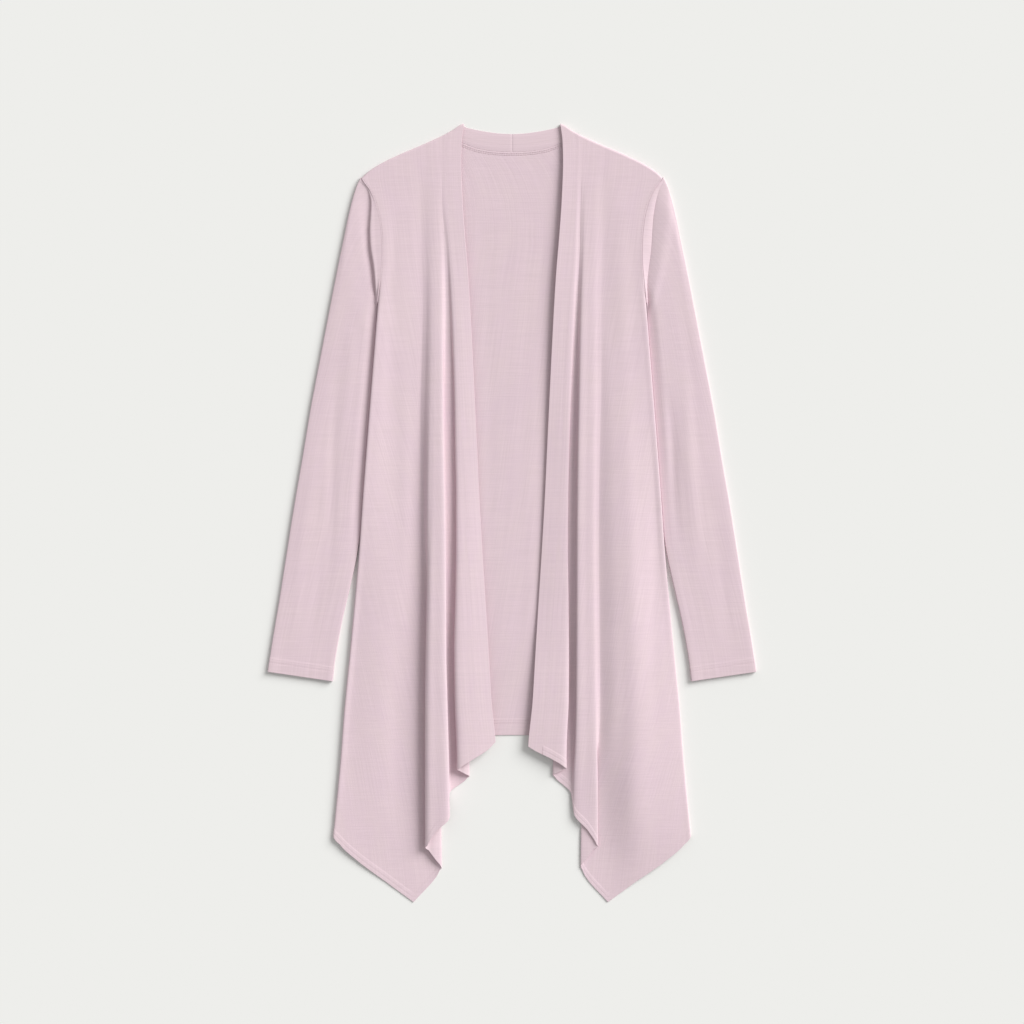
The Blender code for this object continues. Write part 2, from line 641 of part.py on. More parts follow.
def add_piece(name, mesh, material):
    """One piece of the garment as its own object, shaded smooth but for its cut edges."""
    mesh.shade_smooth()
    mesh.set_sharp_from_angle(angle=np.radians(50))
    mesh.materials.append(material)
    piece = bpy.data.objects.new(name, mesh)
    bpy.context.scene.collection.objects.link(piece)


def main():
    for old in list(bpy.data.objects):
        bpy.data.objects.remove(old)
    add_piece("back", back_mesh(), jersey("back_jersey", 0.96))
    sleeve = sleeve_grid()
    for side, sign in SIDES.items():
        panel = front_grid(side, panel_places(side), ON_BACK)
        add_piece(f"{side}_front", wall_mesh("front", panel, sign), jersey("front_jersey", 1.0))
        band = wall_mesh("band", band_grid(side), sign)
        add_piece(f"{side}_band", band, jersey("band_jersey", 1.02))
        tube = wall_mesh("sleeve", sleeve, sign, closed=True)
        add_piece(f"{side}_sleeve", tube, jersey("sleeve_jersey", 0.98))


main()
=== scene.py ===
"""Dresses the open-front duster cardigan laid flat: draped jersey, hems, bands and stitching.

The sizes in the tables are in millimetres. A place on the garment is given by "out", the distance
from the centre back line, and "drop", the distance down from the high point of the shoulder. Left
and right are the wearer's, so the right front lies at -X.
"""

import bpy
import numpy as np
from bpy.props import FloatProperty, FloatVectorProperty, PointerProperty
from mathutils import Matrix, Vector

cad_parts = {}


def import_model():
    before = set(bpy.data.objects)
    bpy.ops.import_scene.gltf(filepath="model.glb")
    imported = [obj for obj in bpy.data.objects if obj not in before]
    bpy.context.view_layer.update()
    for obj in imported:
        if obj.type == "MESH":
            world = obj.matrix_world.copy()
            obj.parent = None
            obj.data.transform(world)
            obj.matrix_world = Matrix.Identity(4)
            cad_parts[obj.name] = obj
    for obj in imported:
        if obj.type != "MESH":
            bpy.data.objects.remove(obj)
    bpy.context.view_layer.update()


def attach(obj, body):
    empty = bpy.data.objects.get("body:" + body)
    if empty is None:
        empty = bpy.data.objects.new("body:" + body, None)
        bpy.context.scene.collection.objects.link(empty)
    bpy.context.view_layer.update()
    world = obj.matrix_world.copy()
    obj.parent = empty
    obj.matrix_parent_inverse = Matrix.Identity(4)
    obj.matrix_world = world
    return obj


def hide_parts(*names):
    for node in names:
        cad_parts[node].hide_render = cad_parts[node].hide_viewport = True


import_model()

bl_info = {
    "name": "Duster cardigan, laid flat",
    "version": (1, 0, 0),
    "blender": (4, 5, 0),
    "location": "3D view, sidebar, Cardigan",
    "description": "Lays out an open-front jersey cardigan with draped, pointed fronts",
    "category": "Object",
}

MM = 0.001
LENGTH = 996.0
SEAM_GAP = 0.02
BAND_WIDTH = 19.0
SHOULDER_ROLL = 2.6
ARMPIT_DROP = 229.0
ARMPIT_ROLL = 38.0
SHOULDER_POINT = (192.0, 69.0)
SHOULDER_HEIGHT = 5.0
HALF = 0.6
ON_FLOOR = 0.6
ON_BACK = 1.7
SEAM_SIDE = SEAM_GAP / 2
SIDES = {"right": -1.0, "left": 1.0}

# How finely the grids are divided. A front's rows are closer past this share of its length, near
# the hem, and the armhole's rows are counted from the shoulder.
SHOULDER_FINE = 7
LENGTH_FINE = 210
HEM_SHARE = 0.984
HEM_FINE = 17
BAND_FINE = 9
PANEL_FINE = 5
ARMHOLE_ROWS = 46
ARMHOLE_START = 6

# The skins of the cloth, in millimetres: how far the lower one lies below the grid, how far both
# are drawn in at a free edge, how close a row lies inside a sewn and a free edge to keep it crisp,
# and their clearance above the floor.
UNDERSIDE = 0.45
EDGE_DRAWN_IN = 0.3
NEAR_SEAM = 0.12
NEAR_EDGE = 0.5
FLOOR_CLEARANCE = 0.02

# Outline of the body: the armhole down to the armpit, then the side seam.
BODY_EDGE = (
    # drop, out
    (0.0, 192.0),
    (69.0, 192.0),
    (86.0, 181.5),
    (104.0, 174.0),
    (126.0, 169.0),
    (150.0, 166.8),
    (172.0, 166.6),
    (200.0, 168.6),
    (229.0, 171.5),
    (264.0, 174.0),
    (306.0, 177.3),
    (353.0, 181.0),
    (417.0, 186.0),
    (481.0, 190.8),
    (545.0, 195.2),
    (609.0, 200.8),
    (673.0, 206.8),
    (750.0, 214.4),
    (814.0, 219.3),
    (911.0, 228.5),
    (1000.0, 236.0),
)

SHOULDER_LINE = (
    # out, drop
    (55.0, 0.0),
    (61.4, 0.0),
    (76.8, 8.6),
    (92.0, 16.5),
    (115.0, 27.0),
    (140.0, 37.6),
    (165.0, 49.5),
    (182.0, 60.0),
    (192.0, 69.0),
    (200.0, 78.0),
)

FRONT_EDGE = (
    # drop, out, height of the free edge above the surface on the right front and on the left front
    (0.0, 61.4, 4.4, 4.4),
    (24.0, 64.4, 4.9, 5.4),
    (50.0, 65.0, 5.4, 6.6),
    (97.0, 63.3, 6.2, 7.9),
    (140.0, 60.4, 6.8, 8.4),
    (190.0, 56.3, 7.2, 8.6),
    (225.0, 54.0, 7.2, 8.4),
    (276.0, 51.3, 7.4, 7.8),
    (353.0, 47.6, 7.0, 6.4),
    (417.0, 44.6, 6.6, 5.0),
    (481.0, 41.6, 6.4, 4.4),
    (545.0, 38.0, 7.2, 3.9),
    (609.0, 33.9, 8.6, 3.6),
    (673.0, 30.0, 9.8, 5.8),
    (737.0, 26.2, 10.4, 8.6),
    (797.0, 20.5, 10.0, 9.0),
    (1000.0, 15.0, 10.0, 9.0),
)

# The folds that run down each front. The first pleat hangs from the front band and the second lies
# beyond it. A pleat's top ends at its lip, where the cloth turns under by the tuck. A tuck below
# zero is an open valley. The trough is the low line of the side panel beyond the second pleat.
FOLD_COLUMNS = (
    "drop", "top_1", "lip_1", "tuck_1", "floor_1", "ridge_2", "top_2",
    "lip_2", "tuck_2", "floor_2", "trough_out", "trough_height", "flat",
)
FOLDS = {
    "right": (
        (0.0, 4.6, 86.0, -4.0, 4.5, 95.0, 4.6, 103.0, -12.0, 4.5, 127.0, 4.6, 4.6),
        (84.0, 6.2, 87.0, -3.5, 5.9, 94.5, 6.2, 103.0, -12.0, 5.8, 125.0, 5.9, 6.0),
        (161.0, 7.4, 80.6, -3.2, 6.2, 91.0, 7.4, 103.0, -11.0, 6.1, 124.0, 6.3, 6.4),
        (225.0, 8.6, 77.4, -2.6, 5.2, 89.6, 8.8, 103.0, -9.4, 5.9, 123.0, 6.2, 6.6),
        (289.0, 9.2, 75.0, -1.0, 4.2, 89.0, 10.4, 103.6, -10.0, 5.4, 122.5, 5.9, 6.5),
        (353.0, 9.2, 73.2, 2.5, 3.4, 88.2, 12.0, 104.8, -10.4, 4.8, 122.5, 5.2, 6.3),
        (417.0, 9.2, 72.2, 6.0, 2.8, 87.4, 13.8, 106.2, -9.0, 3.8, 122.5, 4.4, 6.0),
        (481.0, 9.4, 71.2, 9.5, 2.4, 86.0, 15.0, 107.2, -7.0, 3.1, 122.5, 3.8, 5.8),
        (545.0, 10.4, 71.2, 11.5, 2.1, 85.0, 16.0, 107.8, -3.6, 2.8, 123.0, 3.4, 5.6),
        (609.0, 11.6, 72.2, 13.5, 1.9, 84.6, 16.8, 108.4, 3.0, 2.6, 124.0, 3.1, 5.4),
        (673.0, 13.0, 73.4, 15.5, 1.9, 84.4, 17.2, 109.6, 8.5, 2.6, 126.0, 2.8, 4.8),
        (737.0, 13.8, 72.6, 16.0, 1.9, 83.0, 17.4, 110.3, 13.0, 2.4, 128.0, 2.6, 4.4),
        (790.0, 14.0, 70.6, 15.5, 1.9, 81.6, 17.4, 110.5, 16.0, 2.2, 129.0, 2.4, 4.2),
        (834.0, 14.0, 69.8, 15.0, 1.8, 80.6, 17.0, 110.5, 18.0, 2.0, 128.0, 2.2, 3.8),
        (888.0, 13.0, 69.8, 15.0, 1.7, 80.3, 15.0, 110.5, 19.5, 1.5, 126.0, 1.5, 3.0),
        (952.0, 12.0, 69.8, 15.0, 1.7, 80.3, 12.0, 110.5, 20.2, 1.2, 126.0, 0.8, 1.2),
        (1000.0, 12.0, 69.8, 15.0, 1.7, 80.3, 11.0, 110.5, 20.2, 1.2, 126.0, 0.6, 0.8),
    ),
    "left": (
        (0.0, 4.6, 87.0, -4.0, 4.5, 99.0, 4.6, 109.0, -8.0, 4.5, 130.0, 4.6, 4.6),
        (84.0, 7.0, 83.6, -4.0, 6.3, 93.4, 6.6, 107.0, -8.0, 6.3, 126.0, 6.4, 6.4),
        (161.0, 7.8, 81.6, -4.0, 6.2, 91.6, 8.0, 105.0, -9.0, 7.1, 125.0, 7.4, 7.6),
        (225.0, 7.8, 78.8, -4.0, 4.8, 89.0, 9.4, 104.0, -9.0, 8.0, 124.0, 8.4, 8.8),
        (289.0, 7.4, 76.6, -3.0, 3.6, 87.0, 10.4, 104.0, -9.0, 8.5, 124.0, 9.4, 9.8),
        (353.0, 6.6, 74.6, -1.5, 2.8, 85.6, 11.0, 104.0, -8.5, 9.0, 125.0, 10.8, 11.3),
        (417.0, 5.8, 72.8, 1.0, 2.3, 84.4, 11.2, 103.6, -7.4, 9.2, 127.0, 12.0, 12.6),
        (481.0, 5.4, 71.4, 4.0, 2.0, 83.6, 11.2, 103.2, -6.8, 9.2, 128.0, 13.0, 13.6),
        (545.0, 5.4, 71.0, 7.0, 1.9, 83.2, 11.1, 103.4, -6.4, 9.0, 129.5, 13.5, 14.2),
        (609.0, 5.6, 72.0, 10.0, 1.9, 83.0, 11.0, 104.2, -6.2, 8.8, 130.5, 13.6, 14.5),
        (673.0, 7.4, 72.4, 13.0, 1.9, 82.8, 11.0, 105.0, -6.0, 8.4, 131.0, 13.4, 14.4),
        (737.0, 9.2, 72.0, 15.0, 1.9, 82.4, 10.8, 106.4, -5.2, 7.4, 130.5, 12.2, 13.8),
        (790.0, 10.0, 69.6, 16.0, 1.9, 81.4, 9.6, 108.0, -2.0, 5.2, 126.5, 9.2, 13.0),
        (834.0, 10.0, 69.0, 16.5, 1.8, 80.0, 7.6, 109.0, 11.0, 2.8, 119.0, 4.8, 12.0),
        (888.0, 9.4, 69.0, 16.5, 1.7, 80.0, 5.0, 109.4, 20.5, 1.5, 118.0, 2.0, 9.4),
        (952.0, 9.0, 69.0, 16.5, 1.7, 80.0, 4.8, 109.4, 21.4, 1.2, 121.0, 1.0, 4.0),
        (1000.0, 9.0, 69.0, 16.5, 1.7, 80.0, 4.6, 109.4, 21.4, 1.2, 123.0, 0.6, 1.2),
    ),
}

# Height of the rolled side of each front, which is also the height of the armhole seam.
SIDE_ROLL = (
    # drop, height
    (0.0, 5.0),
    (69.0, 5.8),
    (120.0, 7.2),
    (172.0, 8.2),
    (229.0, 9.4),
    (353.0, 10.2),
    (450.0, 9.8),
    (530.0, 8.2),
    (609.0, 6.4),
    (750.0, 5.6),
    (860.0, 5.2),
    (911.0, 4.6),
    (1000.0, 4.4),
)

# The named lines of a front, in order from the front edge to the side seam, and where each ends at
# the hem.
HEM = {
    # line: drop on the right front, drop on the left front
    "front_edge": (790.0, 796.0),
    "front_roll": (800.0, 802.0),
    "top_1": (812.0, 811.0),
    "shelf_1": (824.0, 822.5),
    "lip_1": (825.5, 824.0),
    "under_1": (827.5, 826.0),
    "hidden_1": (831.0, 829.5),
    "turn_1": (834.6, 833.0),
    "floor_1": (836.5, 835.0),
    "foot_2": (857.0, 856.0),
    "wall_2": (871.0, 870.0),
    "ridge_2": (888.0, 885.0),
    "top_2": (904.0, 903.0),
    "shelf_2": (922.0, 921.5),
    "lip_2": (925.4, 924.5),
    "under_2": (929.0, 928.0),
    "hidden_2": (940.5, 939.5),
    "turn_2": (952.0, 951.0),
    "floor_2": (954.5, 953.5),
    "trough": (996.0, 996.0),
    "flat": (969.8, 969.2),
    "middle": (946.3, 946.3),
    "side_top": (921.5, 921.5),
    "side_roll": (913.2, 913.2),
    "side_edge": (911.6, 911.6),
    "side_seam": (911.0, 911.0),
}
LINE = {name: number for number, name in enumerate(HEM)}

# The band round the back neck, from the shoulder fold to the centre back seam.
BACK_NECK = (
    # neck edge: out, drop; band seam: out, drop
    (60.9, 3.6, 83.2, 16.6),
    (58.0, 4.8, 75.6, 20.0),
    (53.0, 6.1, 66.4, 23.2),
    (46.0, 7.7, 56.0, 27.4),
    (36.0, 9.6, 44.0, 31.4),
    (25.0, 11.3, 30.0, 34.0),
    (13.0, 12.6, 15.0, 35.3),
    (SEAM_SIDE, 13.1, SEAM_SIDE, 35.8),
)
BACK_HEM = (
    # out, drop
    (0.0, 782.0),
    (30.0, 782.4),
    (55.0, 784.5),
    (75.0, 790.0),
    (95.0, 801.0),
    (120.0, 820.0),
    (228.5, 911.0),
)

SLEEVE_INNER = (
    # drop, out: the edge beside the body, then the free edge down to the cuff
    (229.0, 171.7),
    (264.0, 174.2),
    (306.0, 177.5),
    (353.0, 181.2),
    (417.0, 186.2),
    (481.0, 191.0),
    (530.0, 194.8),
    (552.0, 197.4),
    (573.0, 202.5),
    (596.0, 207.6),
    (622.0, 214.0),
    (660.0, 221.5),
    (690.0, 226.6),
    (713.0, 229.4),
)
SLEEVE_OUTER = (
    # drop, out
    (69.0, 193.6),
    (79.0, 198.4),
    (97.0, 204.2),
    (148.5, 215.6),
    (225.0, 231.0),
    (276.5, 240.8),
    (353.0, 255.6),
    (417.0, 266.3),
    (481.0, 277.4),
    (545.0, 287.6),
    (609.0, 297.6),
    (673.0, 308.3),
    (701.0, 312.3),
)

# Rows of a sleeve from the armhole seam to the cuff. The cloth beside the armhole folds over
# itself in a tuck, whose lip and foot are rows of their own. Reach is how far a row has come from
# the seam to the tuck's lip, and bow is how far a later row bends to the body.
SLEEVE_ROWS = (
    # name, drop at the inner edge, drop at the outer edge, reach or bow, then the height at mid row
    # on the right sleeve and on the left sleeve
    ("seam", 229.0, 69.0, 0.0, 20.0, 20.0),
    ("band of the tuck", 231.0, 70.3, 0.5, 20.0, 6.6),
    ("lip of the tuck", 233.5, 71.6, 1.0, 20.0, 4.8),
    ("side of the tuck", 235.0, 72.4, 1.25, 5.2, 4.4),
    ("foot of the tuck", 237.5, 73.6, 1.9, 3.2, 4.9),
    ("beyond the tuck", 249.0, 82.0, -4.0, 4.6, 7.2),
    ("upper arm", 265.0, 108.0, -8.0, 5.2, 6.4),
    ("upper arm", 284.0, 146.0, -8.0, 5.6, 6.0),
    ("upper arm", 308.0, 190.0, -6.0, 5.6, 5.8),
    ("upper arm", 342.0, 240.0, -4.0, 5.6, 5.6),
    ("elbow", 385.0, 298.0, -2.0, 5.5, 5.5),
    ("elbow", 432.0, 362.0, 0.0, 5.4, 5.4),
    ("lower arm", 484.0, 428.0, 0.0, 5.3, 5.3),
    ("lower arm", 536.0, 490.0, 0.0, 5.2, 5.2),
    ("lower arm", 586.0, 550.0, 0.0, 5.1, 5.1),
    ("lower arm", 634.0, 608.0, 0.0, 5.0, 5.0),
    ("lower arm", 678.0, 658.0, 0.0, 4.8, 4.8),
    ("cuff", 700.0, 685.0, 0.0, 4.6, 4.6),
    ("cuff", 713.0, 701.0, 0.0, 4.4, 4.4),
)

# How far the tuck's lip lies from the armhole seam.
TUCK_LIP = (
    # drop, right sleeve, left sleeve
    (69.0, 0.2, 0.4),
    (80.0, 0.5, 3.6),
    (90.0, 1.2, 5.8),
    (97.0, 2.4, 7.0),
    (110.0, 6.4, 8.6),
    (123.0, 10.0, 9.6),
    (136.0, 12.4, 10.4),
    (148.5, 13.0, 10.6),
    (161.0, 12.2, 10.0),
    (174.0, 10.0, 8.4),
    (187.0, 7.4, 6.0),
    (200.0, 5.0, 3.4),
    (213.0, 3.0, 2.0),
    (229.0, 1.4, 1.2),
    (260.0, 0.6, 0.6),
)

# Soft creases pressed or drawn into the cloth. Height is above zero for a ridge and below zero for a
# trough, and a crease fades out towards both its ends.
FRONT_CREASES = {
    "right": (
        # top drop, foot drop, out at top, out at foot, width, height
        (20.0, 330.0, 112.0, 118.0, 9.0, -0.5),
        (60.0, 420.0, 138.0, 141.0, 10.0, 0.5),
        (150.0, 620.0, 152.0, 150.0, 14.0, -0.6),
        (260.0, 700.0, 133.0, 140.0, 7.0, 0.5),
        (430.0, 900.0, 165.0, 178.0, 18.0, 0.9),
        (520.0, 930.0, 196.0, 208.0, 12.0, -0.7),
        (600.0, 960.0, 146.0, 152.0, 9.0, -0.6),
        (110.0, 260.0, 150.0, 158.0, 7.0, -0.4),
    ),
    "left": (
        (20.0, 320.0, 116.0, 122.0, 9.0, -0.5),
        (70.0, 400.0, 140.0, 143.0, 10.0, 0.5),
        (300.0, 860.0, 147.0, 158.0, 11.0, 0.9),
        (380.0, 820.0, 180.0, 184.0, 8.0, -0.9),
        (520.0, 940.0, 200.0, 212.0, 12.0, 0.6),
        (120.0, 330.0, 155.0, 160.0, 8.0, -0.4),
        (620.0, 960.0, 140.0, 142.0, 8.0, -0.6),
    ),
}
SLEEVE_CREASES = {
    "right": (
        (300.0, 640.0, 222.0, 238.0, 6.0, -0.9),
        (240.0, 420.0, 205.0, 214.0, 7.0, 0.5),
        (380.0, 690.0, 250.0, 284.0, 8.0, 0.6),
        (470.0, 700.0, 232.0, 262.0, 7.0, -0.5),
    ),
    "left": (
        (330.0, 560.0, 198.0, 215.0, 6.0, -1.7),
        (300.0, 600.0, 222.0, 236.0, 9.0, 1.3),
        (200.0, 420.0, 216.0, 238.0, 8.0, -0.5),
        (470.0, 700.0, 256.0, 284.0, 8.0, -0.5),
    ),
}
BACK_CREASES = (
    (60.0, 760.0, -34.0, -22.0, 7.0, -0.25),
    (150.0, 780.0, 30.0, 18.0, 8.0, 0.3),
    (60.0, 700.0, 8.0, 0.0, 12.0, 0.25),
)

# Twin stitches below the back neck seam, and the dips in the cloth that the seam and they make.
NECK_STITCHES = (2.4, 4.6)
NECK_DIPS = (
    # distance below the seam, depth, width
    (0.0, 0.3, 0.7),
    *((distance, 0.12, 0.8) for distance in NECK_STITCHES),
)
NECK_HALF_WIDTH = 84.0

# How far the armhole's stitches lie from its seam, and the dent that a row of stitches makes.
ARMHOLE_STITCH = 2.6
HEM_DENT = 0.14
HEM_DENT_WIDTH = 0.9

# A stitch from one end to the other: share of its length, depth in the cloth in thread widths.
STITCH_SHAPE = ((0.0, 0.9), (0.25, 0.1), (0.75, 0.1), (1.0, 0.9))
THREAD_TURNS = (0.0, 0.25, 0.5, 0.75)

# How far the floor reaches each way, in metres.
FLOOR_REACH = 6.0


def size_setting(name, description, size):
    """A setting that is a length, with its first value in millimetres."""
    return FloatProperty(
        name=name, description=description, subtype="DISTANCE", unit="LENGTH", default=size * MM,
    )


def angle_setting(name, description, degrees):
    """A setting that is an angle, with its first value in degrees."""
    return FloatProperty(
        name=name, description=description, subtype="ANGLE", unit="ROTATION",
        default=np.radians(degrees),
    )


def color_setting(name, description, rgb):
    """A setting that is a colour."""
    return FloatVectorProperty(
        name=name, description=description, subtype="COLOR", size=3, min=0.0, max=1.0, default=rgb,
    )


def strength_setting(name, description, value):
    """A setting that is a strength of light."""
    return FloatProperty(name=name, description=description, default=value, min=0.0)


class ClothSettings(bpy.types.PropertyGroup):
    """The jersey that every panel is cut from."""

    color: color_setting("Color", "Dye colour of the jersey", (0.734, 0.585, 0.621))
    shade: color_setting("Mauve", "The cooler tone of the uneven dye", (0.728, 0.573, 0.627))
    thickness: size_setting("Thickness", "Thickness of one layer of jersey", 0.9)
    hem_depth: size_setting("Hem depth", "Depth of the turned hem of the fronts", 11.0)
    back_hem: size_setting("Back hem", "Depth of the back hem", 20.6)
    cuff_depth: size_setting("Cuff", "Depth of the turned cuffs", 18.0)
    hem_rise: size_setting("Hem rise", "How much thicker a turned hem is", 0.35)
    wale: size_setting("Wale", "Width of one column of knit stitches", 0.85)


class StitchSettings(bpy.types.PropertyGroup):
    """The twin rows of stitching along the hems and seams."""

    length: size_setting("Stitch", "Length of one stitch", 2.3)
    pitch: size_setting("Pitch", "From the start of one stitch to the next", 3.0)
    thread: size_setting("Thread", "Thickness of the thread", 0.36)
    twin: size_setting("Twin gap", "Distance between the two rows", 4.0)


class StageSettings(bpy.types.PropertyGroup):
    """Floor, light and camera."""

    floor: color_setting("Floor", "Colour of the floor", (0.848, 0.848, 0.824))
    fill: strength_setting("Fill", "Strength of the soft light from all round", 0.46)
    key: strength_setting("Key", "Strength of the main light, in watts per square metre", 3.34)
    key_height: angle_setting("Key height", "Angle of the main light above the floor", 31.0)
    key_turn: angle_setting("Key turn", "Direction of the main light, from the right towards the top", 38.0)
    key_size: angle_setting("Key size", "Width of the main light, which softens its shadows", 36.0)
    camera_height: size_setting("Camera height", "Height of the camera above the floor", 3000.0)
    camera_shift: size_setting("Camera shift", "How far the camera stands towards the neck", 1.3)
    field: size_setting("Field", "Width of floor that the picture takes in", 1310.7)


def smooth(table, place, column=1):
    """A table's column at a place in its first column, on a curve that never overshoots its rows."""
    rows = np.array(table, float)
    x, y = rows[:, 0], rows[:, column]
    step, slope = np.diff(x), np.diff(y) / np.diff(x)
    tangent = np.empty(len(x))
    tangent[0], tangent[-1] = slope[0], slope[-1]
    same_way = slope[:-1] * slope[1:] > 0
    harmonic = 2 * slope[:-1] * slope[1:] / np.where(same_way, slope[:-1] + slope[1:], 1.0)
    tangent[1:-1] = np.where(same_way, harmonic, 0.0)
    place = np.clip(place, x[0], x[-1])
    i = np.clip(np.searchsorted(x, place, side="right") - 1, 0, len(x) - 2)
    t = (place - x[i]) / step[i]
    return (
        y[i] * (1 + 2 * t) * (1 - t) ** 2
        + tangent[i] * step[i] * t * (1 - t) ** 2
        + y[i + 1] * t * t * (3 - 2 * t)
        + tangent[i + 1] * step[i] * t * t * (t - 1)
    )


def ease(t):
    """0 below 0, 1 above 1, and smooth between."""
    t = np.clip(t, 0.0, 1.0)
    return t * t * (3 - 2 * t)


def mix(a, b, share):
    """The value this share of the way from a to b."""
    return a + (b - a) * share


def fold_sizes(side, drop):
    """Every column of the fold table at these drops."""
    table = FOLDS[side]
    return {name: smooth(table, drop, n) for n, name in enumerate(FOLD_COLUMNS) if n}


def pleat(top, lip, tuck, floor):
    """Points over a lip, back under it by the tuck, and down to the floor."""
    deep = top - floor
    tucked = ease(tuck / 6.0)
    open_flank = ease(-tuck / 8.0)
    under = mix(mix(0.5, 0.36, open_flank), 0.47, tucked)
    hidden = mix(mix(0.74, 0.7, open_flank), 0.56, tucked)
    return [
        (lip - 1.0 - 0.16 * deep - 1.6 * open_flank, top - 0.04 * deep),
        (lip, top - mix(0.25, 0.14, open_flank) * deep),
        (lip - mix(0.3, 0.22, tucked) * tuck, top - under * deep),
        (lip - 0.62 * tuck, top - hidden * deep),
        (lip - tuck, floor + mix(0.06, 0.2, tucked) * deep),
    ]


def section(side, drop):
    """The named lines of a front's cross-section at these drops, as an array (..., line, 2)."""
    f = fold_sizes(side, drop)
    front = smooth(FRONT_EDGE, drop)
    front_height = smooth(FRONT_EDGE, drop, 2 + list(SIDES).index(side))
    edge, roll = smooth(BODY_EDGE, drop), smooth(SIDE_ROLL, drop)
    turned = ease((drop - ARMPIT_DROP + ARMPIT_ROLL) / (2 * ARMPIT_ROLL))
    fall = turned * (roll - ON_BACK)
    deep_1, deep_2 = f["top_1"] - f["floor_1"], f["top_2"] - f["floor_2"]
    steep = ease((f["top_2"] - f["floor_1"] - 4.0) / 6.0)
    wide = f["lip_1"] - front
    side_top = edge - 9.0
    lines = [
        (front, front_height),
        (front + 0.2 * wide, mix(front_height, f["top_1"], 0.32)),
        (front + 0.58 * wide, mix(front_height, f["top_1"], 0.82)),
        *pleat(f["top_1"], f["lip_1"], f["tuck_1"], f["floor_1"]),
        (f["lip_1"] - f["tuck_1"] + 1.2 + 0.06 * deep_1, f["floor_1"]),
        (f["ridge_2"] - mix(4.6, -0.4, steep), f["floor_1"] + 0.06 * deep_1),
        (f["ridge_2"] - mix(2.2, -0.7, steep), mix(f["floor_1"], f["top_2"], 0.52)),
        (f["ridge_2"], f["top_2"] - mix(0.12, 0.06, steep) * deep_2),
        (mix(f["ridge_2"], f["lip_2"], 0.56), f["top_2"]),
        *pleat(f["top_2"], f["lip_2"], f["tuck_2"], f["floor_2"]),
        (f["lip_2"] - f["tuck_2"] + 1.2 + 0.06 * deep_2, f["floor_2"]),
        (f["trough_out"], f["trough_height"]),
        (mix(f["trough_out"], side_top, 0.36), f["flat"]),
        (mix(f["trough_out"], side_top, 0.7), mix(f["flat"], roll, 0.4)),
        (side_top, mix(f["flat"], roll, 0.9)),
        (edge - mix(4.0, 1.1, turned), roll - 0.02 * fall),
        (edge - mix(2.0, 0.55, turned), roll - 0.22 * fall),
        (edge - mix(SEAM_SIDE, HALF + 0.2, turned), roll - fall),
    ]
    return np.stack([np.stack(np.broadcast_arrays(*line), -1) for line in lines], -2)


def along(lines, place):
    """Points on the smooth curve through a section's lines, where place counts in lines."""
    count = lines.shape[-2]
    i = np.clip(np.floor(place).astype(int), 0, count - 2)
    share = (place - i)[..., None]

    def line(number):
        inside = np.clip(number, 0, count - 1)
        return np.take_along_axis(lines, inside[..., None, None], -2)[..., 0, :]

    p1, p2 = line(i), line(i + 1)
    p0 = np.where((i > 0)[..., None], line(i - 1), 2 * p1 - p2)
    p3 = np.where((i < count - 2)[..., None], line(i + 2), 2 * p2 - p1)
    knot = [0.0]
    for a, b in ((p0, p1), (p1, p2), (p2, p3)):
        reach = np.linalg.norm(b - a, axis=-1, keepdims=True)
        knot.append(knot[-1] + np.sqrt(np.maximum(reach, 1e-6)))
    t = mix(knot[1], knot[2], share)
    points = [p0, p1, p2, p3]
    for width in (1, 2):
        points = [
            ((knot[n + width] - t) * points[n] + (t - knot[n]) * points[n + 1])
            / (knot[n + width] - knot[n])
            for n in range(len(points) - 1)
        ]
    return ((knot[2] - t) * points[0] + (t - knot[1]) * points[1]) / (knot[2] - knot[1])


def creased(table, out, drop):
    """The height that a table of soft creases adds at these places."""
    total = np.zeros(np.broadcast(out, drop).shape)
    for number, (start, end, out_start, out_end, width, height) in enumerate(table):
        share = np.clip((drop - start) / (end - start), 0.0, 1.0)
        sway = 1.6 * np.sin(share * 7.0 + number * 2.1)
        centre = mix(out_start, out_end, share) + sway
        fade = np.sin(np.pi * share) ** 1.2
        total = total + height * fade * np.exp(-(((out - centre) / width) ** 2))
    return total


def front_point(side, place, drop):
    """Out and height of a front, before its shoulder rolls down to the back."""
    place, drop = np.broadcast_arrays(np.asarray(place, float), np.asarray(drop, float))
    point = along(section(side, drop), place)
    return point[..., 0], point[..., 1]


def place_finder(side, distance):
    """The place, counted in lines, this far from the front edge along the cloth, by drop."""
    stations = np.linspace(0.0, LENGTH, 125)
    places = np.linspace(0.0, LINE["turn_1"], 141)
    out, height = front_point(side, places[None, :], stations[:, None])
    steps = np.hypot(np.diff(out, axis=1), np.diff(height, axis=1))
    lengths = np.concatenate([np.zeros((len(stations), 1)), np.cumsum(steps, axis=1)], axis=1)
    found = [np.interp(distance, row, places) for row in lengths]
    return lambda drop: np.interp(drop, stations, found)


def shoulder_top(side, place_of):
    """The drop at which each column meets the shoulder line."""
    drop = np.full(len(place_of(np.zeros(1))), 20.0)
    for _ in range(12):
        out, _ = front_point(side, place_of(drop), drop)
        drop = mix(drop, smooth(SHOULDER_LINE, out) + HALF, 0.8)
    return drop


def hem_drop(side, place):
    """The drop of the hem at each place, which is straight from line to line."""
    column = list(SIDES).index(side)
    return np.interp(place, list(LINE.values()), [HEM[name][column] for name in LINE])


def rolled(height, below_shoulder, low):
    """A height that rolls down to low at the shoulder line."""
    share = np.clip(below_shoulder / SHOULDER_ROLL, 0.0, 1.0)
    return mix(low, height, np.sqrt(1 - (1 - share) ** 2))


